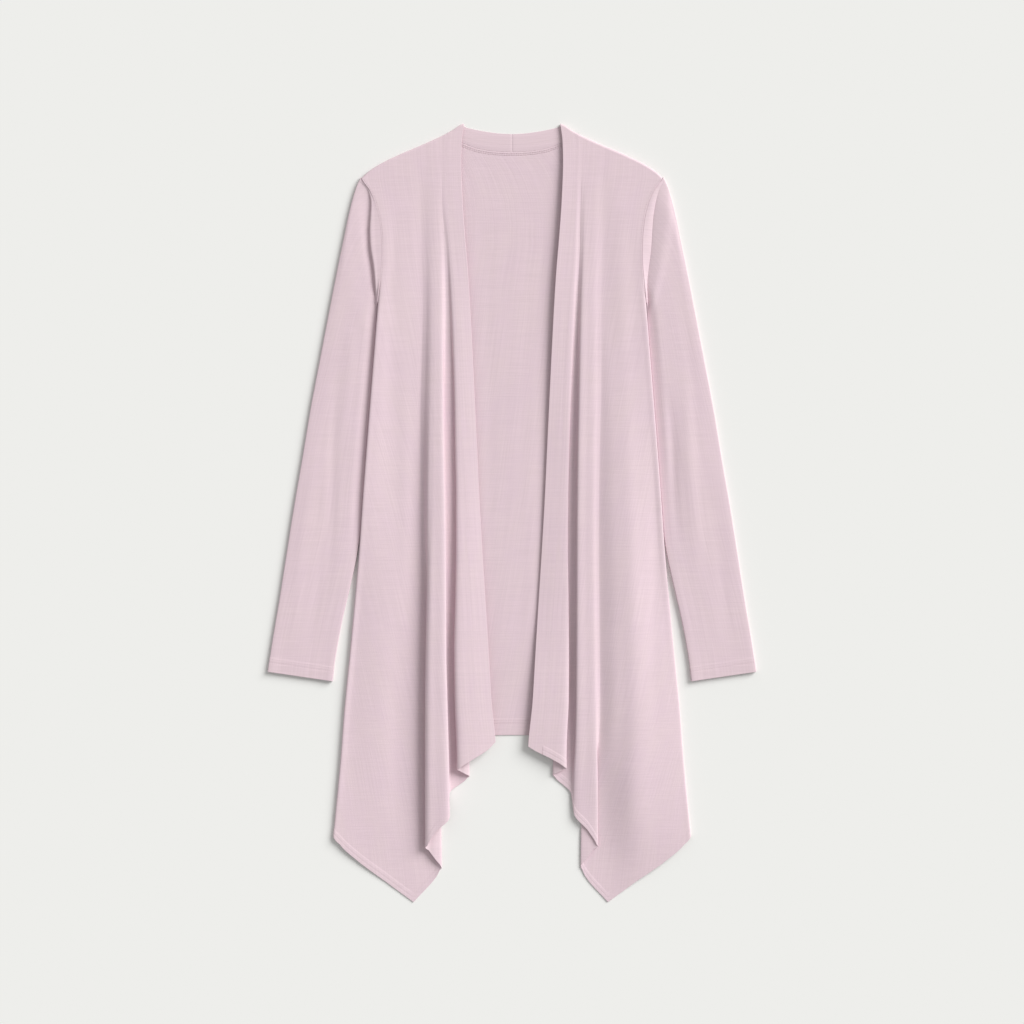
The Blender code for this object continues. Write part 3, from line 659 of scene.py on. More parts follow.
def front_grid(side, place_of, low):
    """A grid of a front's points, columns by rows, from the shoulder line down to the hem."""
    top = shoulder_top(side, place_of)
    end = hem_drop(side, place_of(np.full(len(top), 850.0)))
    near = SHOULDER_ROLL * 1.08 * (1 - np.cos(np.linspace(0, np.pi / 2, SHOULDER_FINE)))
    near = np.append(near, near[-1] + 0.4)
    shares = np.linspace(0, HEM_SHARE, LENGTH_FINE)[1:]
    shares = np.append(shares, np.linspace(HEM_SHARE, 1, HEM_FINE)[1:])
    far = mix(near[-1], (end - top)[:, None], shares[None, :])
    below = np.concatenate([np.broadcast_to(near, (len(top), len(near))), far], axis=1)
    drop = top[:, None] + below
    place = np.stack([place_of(drop[:, n]) for n in range(drop.shape[1])], axis=1)
    out, height = front_point(side, place, drop)
    open_cloth = ease((place - LINE["floor_2"]) / 1.5) * ease((LINE["side_roll"] - place) / 1.0)
    upper = ease((place - 1.0) / 1.5) * ease((330.0 - drop) / 120.0)
    ends = ease(below / 60.0) * ease((end[:, None] - drop) / 25.0)
    extra = creased(FRONT_CREASES[side], out, drop) * np.maximum(open_cloth, upper) * ends
    return np.stack([out, drop, rolled(height + extra, below, low)], -1)


def panel_places(side):
    """The places of the panel's columns, which start at the band seam, as a function of drop."""
    first = np.linspace(0.0, 1.0, 22)[:-1]
    rest = np.arange(LINE["under_1"], LINE["side_top"], 1 / PANEL_FINE)
    rest = np.concatenate([rest, np.linspace(LINE["side_top"], LINE["side_seam"], 40)])
    seam_of = place_finder(side, BAND_WIDTH + SEAM_GAP)

    def place_of(drop):
        drop = np.broadcast_to(drop, (len(first) + len(rest),))
        return np.concatenate([mix(seam_of(drop[: len(first)]), rest[0], first), rest])

    return place_of


def band_places(side):
    """The places of the band's columns, from the front edge to its seam."""
    finders = [place_finder(side, BAND_WIDTH * n / (BAND_FINE - 1)) for n in range(BAND_FINE)]

    def place_of(drop):
        drop = np.broadcast_to(drop, (BAND_FINE,))
        return np.array([finder(drop[n]) for n, finder in enumerate(finders)])

    return place_of


def back_neck_grid():
    """The band's points on the back, columns by rows, from the shoulder fold to the centre back."""
    rows = np.array(BACK_NECK)
    numbered = np.column_stack([np.arange(len(rows)), rows])
    fine = np.append(np.linspace(0, len(rows) - 1.1, 48), [len(rows) - 1.04, len(rows) - 1.0])
    neck_out, neck_drop, seam_out, seam_drop = (smooth(numbered, fine, n) for n in (1, 2, 3, 4))
    share = np.linspace(0.0, 1.0, BAND_FINE)[:, None]
    out = mix(neck_out[None, :], seam_out[None, :], share)
    drop = mix(neck_drop[None, :], seam_drop[None, :], share)
    puff = 0.35 * np.sin(np.pi * share) ** 0.5 * np.ones_like(out)
    return np.stack([out, drop, ON_FLOOR + puff], -1)


def shoulder_fold(front):
    """The rows that carry the band over the shoulder, from the front layer to the back one."""
    start = front[:, 0]
    out, drop = start[:, 0], start[:, 1]
    rows = ((0.1, 1.6), (0.3, 1.1), (0.8, 0.85), (1.6, 0.75))
    return np.stack([np.stack([out, drop + s, np.full_like(out, z)], -1) for s, z in rows], 1)


def band_grid(side):
    """The band from the hem, up the front edge, over the shoulder and round the back neck."""
    front = front_grid(side, band_places(side), ON_FLOOR + 1.5)
    return np.concatenate([front[:, ::-1], shoulder_fold(front), back_neck_grid()], axis=1)


def sleeve_ring():
    """Shares across and levels of the flattened ring, with rounded edges."""
    round_edge = 0.006
    edge = round_edge * (1 - np.cos(np.linspace(0, np.pi / 2, 7)))
    edge = np.append(edge, round_edge + 0.005)
    top = np.concatenate([edge, np.linspace(edge[-1], 1 - edge[-1], 26)[1:-1], 1 - edge[::-1]])
    near = np.minimum(np.minimum(top, 1 - top) / round_edge, 1.0)
    level = 0.5 + 0.5 * (1 - (1 - near) ** 4) ** 0.25
    across = np.concatenate([top, top[-2:0:-1]])
    return across, np.concatenate([level, 1 - level[-2:0:-1]])


def sleeve_row(side, row, across, level):
    """The points of one row of a sleeve, round its flattened ring."""
    name, inner_drop, outer_drop, reach, *heights = row
    column = list(SIDES).index(side)
    height = heights[column]
    inner = smooth(SLEEVE_INNER, inner_drop) + HALF
    outer = smooth(SLEEVE_OUTER, outer_drop) - HALF
    drop = mix(inner_drop, outer_drop, across)
    straight = mix(inner, outer, across)
    if name == "seam" or "tuck" in name and "beyond" not in name:
        clear = SEAM_SIDE + (HALF + 0.2) * np.sqrt(1 - np.abs(2 * level - 1))
        lip = smooth(TUCK_LIP, drop, 1 + column) * min(reach, 1.0)
        beside = smooth(BODY_EDGE, drop) + clear + lip + 0.9 * reach
        ends = ease((1 - across) / 0.05) * (1.0 if name == "seam" else ease(across / 0.02))
        out = mix(straight, beside, ends)
    else:
        chord = mix(smooth(BODY_EDGE, ARMPIT_DROP), SHOULDER_POINT[0], across)
        bend = chord - smooth(BODY_EDGE, mix(SLEEVE_ROWS[0][1], SLEEVE_ROWS[0][2], across))
        out = straight - bend * reach / np.max(bend)
    if reach <= 1.0 and reach >= 0.0 and "tuck" in name or name == "seam":
        height = np.minimum(height, smooth(SIDE_ROLL, drop) - 0.5 * reach)
    armpit = mix(8.8, 2.9, np.sqrt(min((inner_drop - ARMPIT_DROP) / 6.0, 1.0)))
    armpit = mix(armpit, 5.2, ease((inner_drop - 490.0) / 90.0))
    height = mix(armpit, height, ease(across / 0.2))
    height = mix(SHOULDER_HEIGHT, height, ease((1 - across) / 0.2))
    edge_roll = np.minimum(1.0, 0.9 + 4.0 * np.minimum(across, 1 - across))
    top = mix(ON_FLOOR, height, edge_roll)
    return np.stack([out, drop, mix(ON_FLOOR, top, level)], -1)


def sleeve_grid(side):
    """A sleeve's rings from the armhole seam to the cuff, round by rows."""
    across, level = sleeve_ring()
    coarse = np.stack([sleeve_row(side, row, across, level) for row in SLEEVE_ROWS], 1)
    count = len(SLEEVE_ROWS)
    near = np.linspace(0, 6, 46)[:-1]
    cuff = np.linspace(count - 3, count - 1, 46)
    places = np.concatenate([near, np.linspace(6, count - 3, 110), cuff[1:]])
    places = np.broadcast_to(places, (len(across), len(places)))
    lines = np.broadcast_to(coarse[:, None], (*places.shape, count, 3))
    grid = along(lines, places).copy()
    top_side = ease((level[:, None] - 0.75) / 0.25)
    ends = ease((places - 6.0) / 2.0) * ease((count - 1.0 - places) / 1.0)
    grid[..., 2] += creased(SLEEVE_CREASES[side], grid[..., 0], grid[..., 1]) * top_side * ends
    return grid


def back_grid():
    """The back panel's points, columns by rows, from the neck and shoulders to the hem."""
    neck = [(out, drop + SEAM_GAP) for _, _, out, drop in reversed(BACK_NECK)]
    neck[0] = (0.0, neck[0][1])
    shoulder = [row for row in SHOULDER_LINE if row[0] > 90.0]
    top_line = np.array(neck + [(85.75, 15.7), (86.2, 13.9)] + shoulder)
    hem_line = np.array(BACK_HEM)
    reach = 1 - (1 - np.linspace(0, 1, 70)) ** 1.15
    share = np.concatenate([-reach[:0:-1], reach])[:, None]
    neck_rows = np.linspace(0, 0.012, 14)
    middle_rows = np.linspace(0.012, 0.965, 156)
    hem_rows = np.linspace(0.965, 1, 36)
    rows = np.concatenate([neck_rows, middle_rows[1:], hem_rows[1:]])[None, :]
    drop = mix(60.0, 800.0, rows) * np.ones_like(share)
    for _ in range(14):
        out = np.abs(share) * (smooth(BODY_EDGE, drop) - SEAM_SIDE)
        top = np.interp(out, top_line[:, 0], top_line[:, 1])
        drop = mix(top, np.interp(out, hem_line[:, 0], hem_line[:, 1]), rows)
    out = share * (smooth(BODY_EDGE, drop) - SEAM_SIDE)
    height = np.full_like(out, ON_FLOOR)
    return np.stack([out, drop, height], -1)


def normals(grid, closed=False):
    """The unit normal at each point of a grid of points."""
    if closed:
        round_it = np.roll(grid, -1, axis=0) - np.roll(grid, 1, axis=0)
    else:
        round_it = np.gradient(grid, axis=0)
    across = np.cross(round_it, np.gradient(grid, axis=1))
    return across / np.maximum(np.linalg.norm(across, axis=-1, keepdims=True), 1e-9)


def cloth_map(grid, closed=False):
    """Distances along the cloth, across and down, at each point: its place on the uncut jersey."""
    steps = np.linalg.norm(np.diff(grid, axis=0), axis=-1)
    across = np.concatenate([np.zeros((1, grid.shape[1])), np.cumsum(steps, axis=0)])
    if closed:
        last = np.linalg.norm(grid[0] - grid[-1], axis=-1)
        across = np.concatenate([across, across[-1:] + last])
    down = grid[..., 1]
    if closed:
        down = np.concatenate([down, down[:1]])
    return np.stack([across, down], -1)


def rim_loops(columns, rows, closed):
    """The border points of a grid, as closed walks with the cloth on their left."""
    if closed:
        return [[(c, 0) for c in range(columns)], [(c, rows - 1) for c in reversed(range(columns))]]
    walk = [(c, 0) for c in range(columns)]
    walk += [(columns - 1, r) for r in range(1, rows)]
    walk += [(c, rows - 1) for c in reversed(range(columns - 1))]
    walk += [(0, r) for r in reversed(range(1, rows - 1))]
    return [walk]


def world(points, sign):
    """Out, drop and height to X, Y and Z in metres."""
    place = np.stack([sign * points[..., 0], LENGTH / 2 - points[..., 1], points[..., 2]], -1)
    return place * MM


def near_edges(sheet, axis, sewn):
    """The grid with one more row close inside both ends of an axis, which keeps the edges crisp."""
    sheet = np.moveaxis(sheet, axis, 0)
    near = []
    for edge, inner, joined in ((0, 1, sewn[0]), (-1, -2, sewn[1])):
        way = sheet[inner] - sheet[edge]
        size = np.maximum(np.linalg.norm(way[..., :3], axis=-1, keepdims=True), 1e-9)
        close = NEAR_SEAM if joined else NEAR_EDGE
        near.append(sheet[edge] + way * np.minimum(close / size, 0.5))
    first, last = near
    sheet = np.concatenate([sheet[:1], first[None], sheet[1:-1], last[None], sheet[-1:]])
    return np.moveaxis(sheet, 0, axis)


def draw_in(skins, closed, sewn):
    """Draws in the free edges of some skins, which rounds them, and keeps the skins off the floor."""
    edges = {"top": (np.s_[:, 0], np.s_[:, 1]), "end": (np.s_[:, -1], np.s_[:, -2])}
    if not closed:
        edges.update(first=(np.s_[0], np.s_[1]), last=(np.s_[-1], np.s_[-2]))
    free = [pair for label, pair in edges.items() if label not in sewn]
    for skin in skins:
        for edge, inner in free:
            way = skin[inner] - skin[edge]
            size = np.linalg.norm(way, axis=-1, keepdims=True)
            pull = np.minimum(EDGE_DRAWN_IN, 0.5 * size)
            skin[edge] = skin[edge] + way / np.maximum(size, 1e-9) * pull
        skin[..., 2] = np.maximum(skin[..., 2], FLOOR_CLEARANCE)


def cloth_piece(name, grid, sign, rise, closed=False, under=UNDERSIDE, sewn=()):
    """A layer of jersey about a grid of points, with rounded edges except where it is sewn on."""
    sheet = np.concatenate([grid, rise[..., None]], -1)
    sheet = near_edges(sheet, 1, ("top" in sewn, "end" in sewn))
    if not closed:
        sheet = near_edges(sheet, 0, ("first" in sewn, "last" in sewn))
    grid, rise = sheet[..., :3], sheet[..., 3]
    columns, rows = grid.shape[:2]
    away = normals(grid, closed)
    half = bpy.context.scene.cardigan_cloth.thickness / MM / 2
    top = grid + away * (half + rise)[..., None]
    below = grid - away * under
    draw_in([top, below], closed, sewn)
    count = columns * rows
    spans = columns if closed else columns - 1
    c, r = (a.ravel() for a in np.meshgrid(np.arange(spans), np.arange(rows - 1), indexing="ij"))
    corners = [(c, r), (c + 1, r), (c + 1, r + 1), (c, r + 1)]
    quads = np.stack([(x % columns) * rows + y for x, y in corners], -1)
    uv_index = np.stack([x * rows + y for x, y in corners], -1)
    faces = [quads, quads[:, ::-1] + count]
    places = [uv_index, uv_index[:, ::-1]]
    middle = []
    for walk in rim_loops(columns, rows, closed):
        start = 2 * count + len(middle)
        ids = np.array([x * rows + y for x, y in walk])
        mids = start + np.arange(len(walk))
        middle.extend(grid[x, y] for x, y in walk)
        after, mid_after = np.roll(ids, -1), np.roll(mids, -1)
        for rim in ((after, ids, mids, mid_after), (mid_after, mids, ids + count, after + count)):
            faces.append(np.stack(rim, -1))
            places.append(np.stack([after, ids, ids, after], -1))
    smooth_count = 2 * len(quads)
    faces, places = np.concatenate(faces), np.concatenate(places)
    if sign > 0:
        faces, places = faces[:, ::-1], places[:, ::-1]
    points = np.concatenate([top.reshape(-1, 3), below.reshape(-1, 3), np.array(middle)])
    mesh = bpy.data.meshes.new(name)
    mesh.from_pydata(world(points, sign).tolist(), [], faces.tolist())
    uv = mesh.uv_layers.new(name="cloth")
    spots = cloth_map(grid, closed).reshape(-1, 2)[places.ravel()] * MM
    uv.data.foreach_set("uv", spots.ravel())
    mesh.polygons.foreach_set("use_smooth", np.arange(len(faces)) < smooth_count)
    mesh.validate()
    return new_object(name, mesh)


def new_object(name, data):
    """A mesh, light or camera as an object in the scene."""
    made = bpy.data.objects.new(name, data)
    bpy.context.scene.collection.objects.link(made)
    return made


def dress(piece, material, *nodes):
    """Gives a piece its material and its body, and hides the plain nodes that it stands for."""
    piece.data.materials.append(material)
    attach(piece, "root")
    if nodes:
        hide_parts(*nodes)


def stitch_lines(depth):
    """How far the two rows of stitching lie from the edge of a hem this deep."""
    twin = bpy.context.scene.cardigan_stitch.twin / MM
    return (depth / MM - 1.5, depth / MM - 1.5 - twin)


def distance_from_end(grid):
    """How far each point of a grid lies from its last row, along the cloth."""
    steps = np.linalg.norm(np.diff(grid, axis=1), axis=-1)[:, ::-1]
    from_end = np.concatenate([np.zeros((len(grid), 1)), np.cumsum(steps, axis=1)], 1)
    return from_end[:, ::-1]


def hem_rise(grid, depth):
    """Extra thickness within a depth of the last row, where the cloth is turned and stitched down."""
    from_end = distance_from_end(grid)
    cloth = bpy.context.scene.cardigan_cloth
    rise = cloth.hem_rise / MM * ease((depth / MM - from_end) / 1.2 + 0.5)
    for line in stitch_lines(depth):
        rise = rise - HEM_DENT * np.exp(-(((from_end - line) / HEM_DENT_WIDTH) ** 2))
    return rise


def line_above_end(grid, distance, closed=False):
    """Points and normals of a line on the cloth at this distance from its last row."""
    from_end = distance_from_end(grid)[:, ::-1]
    away = normals(grid, closed)
    points, ups = [], []
    for column in range(len(grid)):
        path, up = grid[column, ::-1], away[column, ::-1]
        points.append([np.interp(distance, from_end[column], path[:, k]) for k in range(3)])
        ups.append([np.interp(distance, from_end[column], up[:, k]) for k in range(3)])
    return np.array(points), np.array(ups)


def stitch_row(points, ups, lift):
    """Small rods of thread, end to end along a line on the cloth."""
    settings = bpy.context.scene.cardigan_stitch
    pitch, length, thread = (v / MM for v in (settings.pitch, settings.length, settings.thread))
    steps = np.linalg.norm(np.diff(points, axis=0), axis=1)
    run = np.concatenate([[0.0], np.cumsum(steps)])
    starts = np.arange(0.4 * pitch, run[-1] - length, pitch)
    verts, faces = [], []
    for start in starts:
        ring_at = []
        for share, sink in STITCH_SHAPE:
            s = start + share * length
            centre = np.array([np.interp(s, run, points[:, k]) for k in range(3)])
            up = np.array([np.interp(s, run, ups[:, k]) for k in range(3)])
            up /= np.linalg.norm(up)
            ring_at.append((centre + up * (lift - sink * thread), up))
        way = ring_at[-1][0] - ring_at[0][0]
        way /= max(np.linalg.norm(way), 1e-9)
        base = len(verts)
        for centre, up in ring_at:
            side = np.cross(way, up)
            for turn in THREAD_TURNS:
                x = 0.5 * np.cos(2 * np.pi * turn)
                y = 0.45 * np.sin(2 * np.pi * turn)
                verts.append(centre + thread * (x * side + y * up))
        for k in range(3):
            for n in range(4):
                a, b = base + 4 * k + n, base + 4 * k + (n + 1) % 4
                faces.append((a, b, b + 4, a + 4))
        faces.append(tuple(base + n for n in (3, 2, 1, 0)))
        faces.append(tuple(base + 12 + n for n in (0, 1, 2, 3)))
    return np.array(verts).reshape(-1, 3), faces


def stitching(name, lines, sign, lift):
    """One object that holds every stitch of some lines."""
    verts, faces = [], []
    for points, ups in lines:
        found, quads = stitch_row(points, ups, lift)
        base = sum(len(v) for v in verts)
        verts.append(found)
        faces.extend(tuple(i + base for i in face) for face in quads)
    if sign < 0:
        faces = [face[::-1] for face in faces]
    mesh = bpy.data.meshes.new(name)
    points = np.concatenate(verts)
    points[:, 2] = np.maximum(points[:, 2], FLOOR_CLEARANCE)
    mesh.from_pydata(world(points, sign).tolist(), [], faces)
    mesh.shade_smooth()
    return new_object(name, mesh)


def group_tree(name, inputs, outputs):
    """A new shader node group with these named sockets, and its end nodes."""
    tree = bpy.data.node_groups.new(name, "ShaderNodeTree")
    for label, kind, default in inputs:
        socket = tree.interface.new_socket(name=label, in_out="INPUT", socket_type=kind)
        if default is not None:
            socket.default_value = default
    for label, kind in outputs:
        tree.interface.new_socket(name=label, in_out="OUTPUT", socket_type=kind)
    return tree, tree.nodes.new("NodeGroupInput"), tree.nodes.new("NodeGroupOutput")


def math_node(tree, operation, a, b=None, clamp=False):
    """One step of arithmetic in a shader, on numbers or on what other nodes give."""
    node = tree.nodes.new("ShaderNodeMath")
    node.operation = operation
    node.use_clamp = clamp
    for socket, value in zip(node.inputs, (a, b)):
        if value is None:
            continue
        if isinstance(value, (int, float)):
            socket.default_value = value
        else:
            tree.links.new(value, socket)
    return node.outputs[0]


def stretched_noise(tree, vector, across, down, detail=2.0, roughness=0.5):
    """Noise with this many grains to the metre across and down the cloth."""
    scale = tree.nodes.new("ShaderNodeVectorMath")
    scale.operation = "MULTIPLY"
    scale.inputs[1].default_value = (across, down, 1.0)
    tree.links.new(vector, scale.inputs[0])
    noise = tree.nodes.new("ShaderNodeTexNoise")
    noise.inputs["Scale"].default_value = 1.0
    noise.inputs["Detail"].default_value = detail
    noise.inputs["Roughness"].default_value = roughness
    tree.links.new(scale.outputs[0], noise.inputs["Vector"])
    return noise.outputs["Fac"]


def knit_group():
    """Columns of knit stitches, as a height over the cloth."""
    tree, start, end = group_tree(
        "Fine knit",
        [("Cloth", "NodeSocketVector", None), ("Wale", "NodeSocketFloat", 0.85 * MM),
         ("Course", "NodeSocketFloat", 0.65 * MM)],
        [("Height", "NodeSocketFloat")],
    )
    split = tree.nodes.new("ShaderNodeSeparateXYZ")
    tree.links.new(start.outputs["Cloth"], split.inputs[0])
    column = math_node(tree, "DIVIDE", split.outputs["X"], start.outputs["Wale"])
    from_middle = math_node(tree, "SUBTRACT", math_node(tree, "FRACT", column), 0.5)
    across = math_node(tree, "ABSOLUTE", from_middle)
    course = math_node(tree, "DIVIDE", split.outputs["Y"], start.outputs["Course"])
    slanted = math_node(tree, "ADD", course, across)
    loop = math_node(tree, "SINE", math_node(tree, "MULTIPLY", slanted, 2 * np.pi))
    crown = math_node(tree, "SUBTRACT", 1.0, math_node(tree, "MULTIPLY", across, 2.0))
    waved = math_node(tree, "ADD", math_node(tree, "MULTIPLY", loop, 0.3), 0.7)
    legs = math_node(tree, "MULTIPLY", waved, crown)
    tree.links.new(legs, end.inputs["Height"])
    return tree


def slub_group():
    """Thicker runs of yarn across the cloth and faint ribs down it."""
    tree, start, end = group_tree(
        "Slub yarn",
        [("Cloth", "NodeSocketVector", None), ("Streaks", "NodeSocketFloat", 0.5),
         ("Ribs", "NodeSocketFloat", 0.5)],
        [("Tone", "NodeSocketFloat"), ("Height", "NodeSocketFloat")],
    )
    streaks = stretched_noise(tree, start.outputs["Cloth"], 22.0, 620.0, 3.0)
    ribs = stretched_noise(tree, start.outputs["Cloth"], 480.0, 9.0, 3.0)
    streaks = math_node(tree, "SUBTRACT", streaks, 0.5)
    ribs = math_node(tree, "SUBTRACT", ribs, 0.5)
    streaks = math_node(tree, "MULTIPLY", streaks, start.outputs["Streaks"])
    ribs = math_node(tree, "MULTIPLY", ribs, start.outputs["Ribs"])
    tone = math_node(tree, "ADD", math_node(tree, "ADD", streaks, ribs), 0.5)
    for output in ("Tone", "Height"):
        tree.links.new(tone, end.inputs[output])
    return tree


def dye_group():
    """Uneven dye: soft patches between two tones of pink."""
    tree, start, end = group_tree(
        "Uneven dye",
        [("Cloth", "NodeSocketVector", None), ("Pink", "NodeSocketColor", None),
         ("Mauve", "NodeSocketColor", None), ("Tone", "NodeSocketFloat", 0.5)],
        [("Color", "NodeSocketColor")],
    )
    broad = stretched_noise(tree, start.outputs["Cloth"], 26.0, 15.0, 2.0)
    fine = stretched_noise(tree, start.outputs["Cloth"], 90.0, 60.0, 2.0)
    patch = math_node(tree, "ADD", math_node(tree, "MULTIPLY", broad, 2.6), fine)
    patch = math_node(tree, "SUBTRACT", patch, 1.3, clamp=True)
    dyed = tree.nodes.new("ShaderNodeMix")
    dyed.data_type = "RGBA"
    tree.links.new(patch, dyed.inputs["Factor"])
    tree.links.new(start.outputs["Pink"], dyed.inputs["A"])
    tree.links.new(start.outputs["Mauve"], dyed.inputs["B"])
    light = tree.nodes.new("ShaderNodeHueSaturation")
    value = math_node(tree, "ADD", math_node(tree, "MULTIPLY", start.outputs["Tone"], 0.3), 0.85)
    tree.links.new(value, light.inputs["Value"])
    tree.links.new(dyed.outputs["Result"], light.inputs["Color"])
    tree.links.new(light.outputs["Color"], end.inputs["Color"])
    return tree


def bump(tree, height, distance, normal=None):
    """A bump of this distance from a height, over another normal where one is given."""
    node = tree.nodes.new("ShaderNodeBump")
    node.inputs["Strength"].default_value = 0.35
    node.inputs["Distance"].default_value = distance
    tree.links.new(height, node.inputs["Height"])
    if normal:
        tree.links.new(normal, node.inputs["Normal"])
    return node.outputs["Normal"]


def new_material(name):
    """A new material, its node tree and its shader."""
    material = bpy.data.materials.new(name)
    material.use_nodes = True
    return material, material.node_tree, material.node_tree.nodes["Principled BSDF"]


def jersey_material():
    """Dusty pink viscose jersey: fine knit, slubs, uneven dye and a soft sheen."""
    found = bpy.data.materials.get("dusty_pink_jersey")
    if found:
        return found
    cloth = bpy.context.scene.cardigan_cloth
    material, tree, shader = new_material("dusty_pink_jersey")
    where = tree.nodes.new("ShaderNodeUVMap")
    where.uv_map = "cloth"
    groups = {}
    for label, make in (("knit", knit_group), ("slub", slub_group), ("dye", dye_group)):
        groups[label] = tree.nodes.new("ShaderNodeGroup")
        groups[label].node_tree = make()
        tree.links.new(where.outputs["UV"], groups[label].inputs["Cloth"])
    groups["knit"].inputs["Wale"].default_value = cloth.wale
    groups["knit"].inputs["Course"].default_value = cloth.wale * 0.76
    groups["dye"].inputs["Pink"].default_value = (*cloth.color, 1.0)
    groups["dye"].inputs["Mauve"].default_value = (*cloth.shade, 1.0)
    tree.links.new(groups["slub"].outputs["Tone"], groups["dye"].inputs["Tone"])
    tree.links.new(groups["dye"].outputs["Color"], shader.inputs["Base Color"])
    shader.inputs["Roughness"].default_value = 0.72
    shader.inputs["Specular IOR Level"].default_value = 0.12
    shader.inputs["Sheen Weight"].default_value = 0.1
    shader.inputs["Sheen Roughness"].default_value = 0.45
    shader.inputs["Sheen Tint"].default_value = (1.0, 0.78, 0.84, 1.0)
    knit = bump(tree, groups["knit"].outputs["Height"], 0.12 * MM)
    slub = bump(tree, groups["slub"].outputs["Height"], 0.5 * MM, knit)
    tree.links.new(slub, shader.inputs["Normal"])
    return material


def thread_material():
    """The matching thread, its tone varying at random between a deeper and a lighter pink."""
    found = bpy.data.materials.get("pink_thread")
    if found:
        return found
    cloth = bpy.context.scene.cardigan_cloth
    material, tree, shader = new_material("pink_thread")
    where = tree.nodes.new("ShaderNodeTexCoord")
    grain = stretched_noise(tree, where.outputs["Object"], 900.0, 900.0)
    ramp = tree.nodes.new("ShaderNodeMix")
    ramp.data_type = "RGBA"
    ramp.inputs["A"].default_value = (*(0.78 * c for c in cloth.color), 1.0)
    ramp.inputs["B"].default_value = (*(0.98 * c for c in cloth.color), 1.0)
    tree.links.new(grain, ramp.inputs["Factor"])
    tree.links.new(ramp.outputs["Result"], shader.inputs["Base Color"])
    shader.inputs["Roughness"].default_value = 0.55
    return material


def add_floor(stage):
    """The plain pale floor."""
    mesh = bpy.data.meshes.new("floor")
    corners = [(FLOOR_REACH * x, FLOOR_REACH * y, 0) for x, y in ((-1, -1), (1, -1), (1, 1), (-1, 1))]
    mesh.from_pydata(corners, [], [(0, 1, 2, 3)])
    floor = new_object("floor", mesh)
    material, _, shader = new_material("pale_floor")
    shader.inputs["Base Color"].default_value = (*stage.floor, 1.0)
    shader.inputs["Roughness"].default_value = 0.9
    shader.inputs["Specular IOR Level"].default_value = 0.0
    mesh.materials.append(material)


def add_light(stage):
    """Soft light from all round, and the main light from the upper right."""
    room = bpy.data.worlds.new("soft_room")
    room.use_nodes = True
    background = room.node_tree.nodes["Background"]
    background.inputs["Color"].default_value = (1.0, 1.0, 1.0, 1.0)
    background.inputs["Strength"].default_value = stage.fill
    bpy.context.scene.world = room
    lamp = bpy.data.lights.new("key_light", "SUN")
    lamp.energy = stage.key
    lamp.angle = stage.key_size
    level = np.cos(stage.key_height)
    towards = Vector((
        level * np.cos(stage.key_turn), level * np.sin(stage.key_turn), np.sin(stage.key_height),
    ))
    key = new_object("key_light", lamp)
    key.rotation_euler = towards.to_track_quat("Z", "Y").to_euler()


def add_camera(stage):
    """The camera, which looks straight down."""
    lens = bpy.data.cameras.new("camera")
    lens.sensor_width = 36.0
    lens.lens = lens.sensor_width * stage.camera_height / stage.field
    camera = new_object("camera", lens)
    camera.location = (0.0, stage.camera_shift, stage.camera_height)
    bpy.context.scene.camera = camera


class CARDIGAN_OT_back(bpy.types.Operator):
    """Cut the back panel with its turned hem"""

    bl_idname = "cardigan.back"
    bl_label = "Back"

    def execute(self, context):
        cloth = context.scene.cardigan_cloth
        grid = back_grid()
        rise = hem_rise(grid, cloth.back_hem)
        rise = rise + creased(BACK_CREASES, grid[..., 0], grid[..., 1]) + 0.1
        from_seam = grid[..., 1] - grid[:, :1, 1]
        neck = np.abs(grid[..., 0]) < NECK_HALF_WIDTH
        for line, dip, width in NECK_DIPS:
            rise = rise - neck * dip * np.exp(-(((from_seam - line) / width) ** 2))
        piece = cloth_piece("back_cloth", grid, 1.0, rise, under=ON_FLOOR, sewn=("top",))
        dress(piece, jersey_material(), "back")
        lines = [line_above_end(grid, distance) for distance in stitch_lines(cloth.back_hem)]
        neck_columns = grid[np.abs(grid[:, 0, 0]) < NECK_HALF_WIDTH - 2.0]
        for distance in NECK_STITCHES:
            points, ups = line_above_end(neck_columns[:, ::-1], distance)
            lines.append((points, -ups))
        thread = stitching("back_stitches", lines, 1.0, lift=0.95)
        dress(thread, thread_material())
        return {"FINISHED"}


class CARDIGAN_OT_fronts(bpy.types.Operator):
    """Drape the two fronts in their folds"""

    bl_idname = "cardigan.fronts"
    bl_label = "Fronts"

    def execute(self, context):
        cloth = context.scene.cardigan_cloth
        for side, sign in SIDES.items():
            grid = front_grid(side, panel_places(side), ON_BACK)
            rise = hem_rise(grid, cloth.hem_depth)
            piece = cloth_piece(f"{side}_front_cloth", grid, sign, rise, sewn=("first",))
            dress(piece, jersey_material(), f"{side}_front")
            lines = [line_above_end(grid, distance) for distance in stitch_lines(cloth.hem_depth)]
            armhole = grid.transpose(1, 0, 2)[:ARMHOLE_ROWS]
            points, ups = line_above_end(armhole, ARMHOLE_STITCH)
            lines.append((points[ARMHOLE_START:], -ups[ARMHOLE_START:]))
            thread = stitching(f"{side}_front_stitches", lines, sign, lift=0.6)
            dress(thread, thread_material())
        return {"FINISHED"}


class CARDIGAN_OT_bands(bpy.types.Operator):
    """Lay the bands up the fronts and round the back neck"""

    bl_idname = "cardigan.bands"
    bl_label = "Bands"

    def execute(self, context):
        for side, sign in SIDES.items():
            grid = band_grid(side)
            rise = 0.05 - 0.25 * np.exp(-((grid[..., 0] / 0.7) ** 2))
            piece = cloth_piece(f"{side}_band_cloth", grid, sign, rise, sewn=("last", "end"))
            dress(piece, jersey_material(), f"{side}_band")
        return {"FINISHED"}


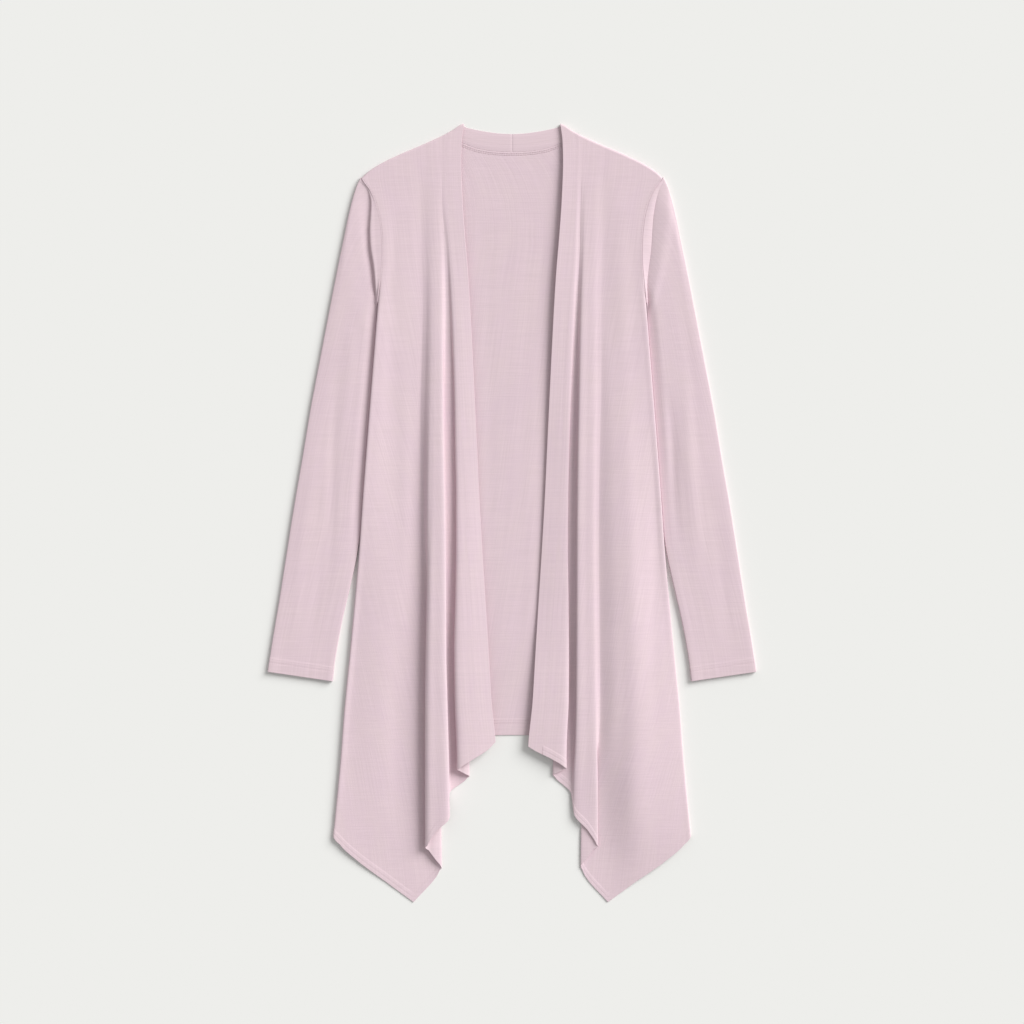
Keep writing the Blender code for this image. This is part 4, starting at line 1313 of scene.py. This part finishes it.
class CARDIGAN_OT_sleeves(bpy.types.Operator):
    """Flatten the two sleeves beside the body"""

    bl_idname = "cardigan.sleeves"
    bl_label = "Sleeves"

    def execute(self, context):
        cloth = context.scene.cardigan_cloth
        for side, sign in SIDES.items():
            grid = sleeve_grid(side)
            rise = hem_rise(grid, cloth.cuff_depth)
            piece = cloth_piece(f"{side}_sleeve_cloth", grid, sign, rise, closed=True)
            dress(piece, jersey_material(), f"{side}_sleeve")
            lines = []
            for distance in stitch_lines(cloth.cuff_depth):
                points, ups = line_above_end(grid, distance, closed=True)
                lines.append((np.concatenate([points, points[:1]]), np.concatenate([ups, ups[:1]])))
            thread = stitching(f"{side}_cuff_stitches", lines, sign, lift=0.75)
            dress(thread, thread_material())
        return {"FINISHED"}


class CARDIGAN_OT_stage(bpy.types.Operator):
    """Set the floor, the soft light and the camera"""

    bl_idname = "cardigan.stage"
    bl_label = "Stage"

    def execute(self, context):
        stage = context.scene.cardigan_stage
        add_floor(stage)
        add_light(stage)
        add_camera(stage)
        context.scene.view_settings.view_transform = "Standard"
        return {"FINISHED"}


class CARDIGAN_PT_panel(bpy.types.Panel):
    """The cardigan's pieces and settings"""

    bl_idname = "CARDIGAN_PT_panel"
    bl_label = "Duster cardigan"
    bl_space_type = "VIEW_3D"
    bl_region_type = "UI"
    bl_category = "Cardigan"

    def draw(self, context):
        layout = self.layout
        for settings in SETTINGS:
            box = layout.box()
            group = getattr(context.scene, settings)
            for name in group.__annotations__:
                box.prop(group, name)
        for operator in PIECE_OPERATORS:
            layout.operator(operator.bl_idname)


PIECE_OPERATORS = (
    CARDIGAN_OT_back, CARDIGAN_OT_fronts, CARDIGAN_OT_bands, CARDIGAN_OT_sleeves,
    CARDIGAN_OT_stage,
)
SETTINGS = {
    "cardigan_cloth": ClothSettings,
    "cardigan_stitch": StitchSettings,
    "cardigan_stage": StageSettings,
}
CLASSES = (*SETTINGS.values(), *PIECE_OPERATORS, CARDIGAN_PT_panel)


def register():
    """Adds the settings, operators and panel."""
    for cls in CLASSES:
        bpy.utils.register_class(cls)
    for name, settings in SETTINGS.items():
        setattr(bpy.types.Scene, name, PointerProperty(type=settings))


def unregister():
    """Takes them away again."""
    for name in SETTINGS:
        delattr(bpy.types.Scene, name)
    for cls in reversed(CLASSES):
        bpy.utils.unregister_class(cls)


def main():
    """Makes every piece and the stage."""
    register()
    for operator in PIECE_OPERATORS:
        group, name = operator.bl_idname.split(".")
        getattr(getattr(bpy.ops, group), name)()


if __name__ == "__main__":
    main()
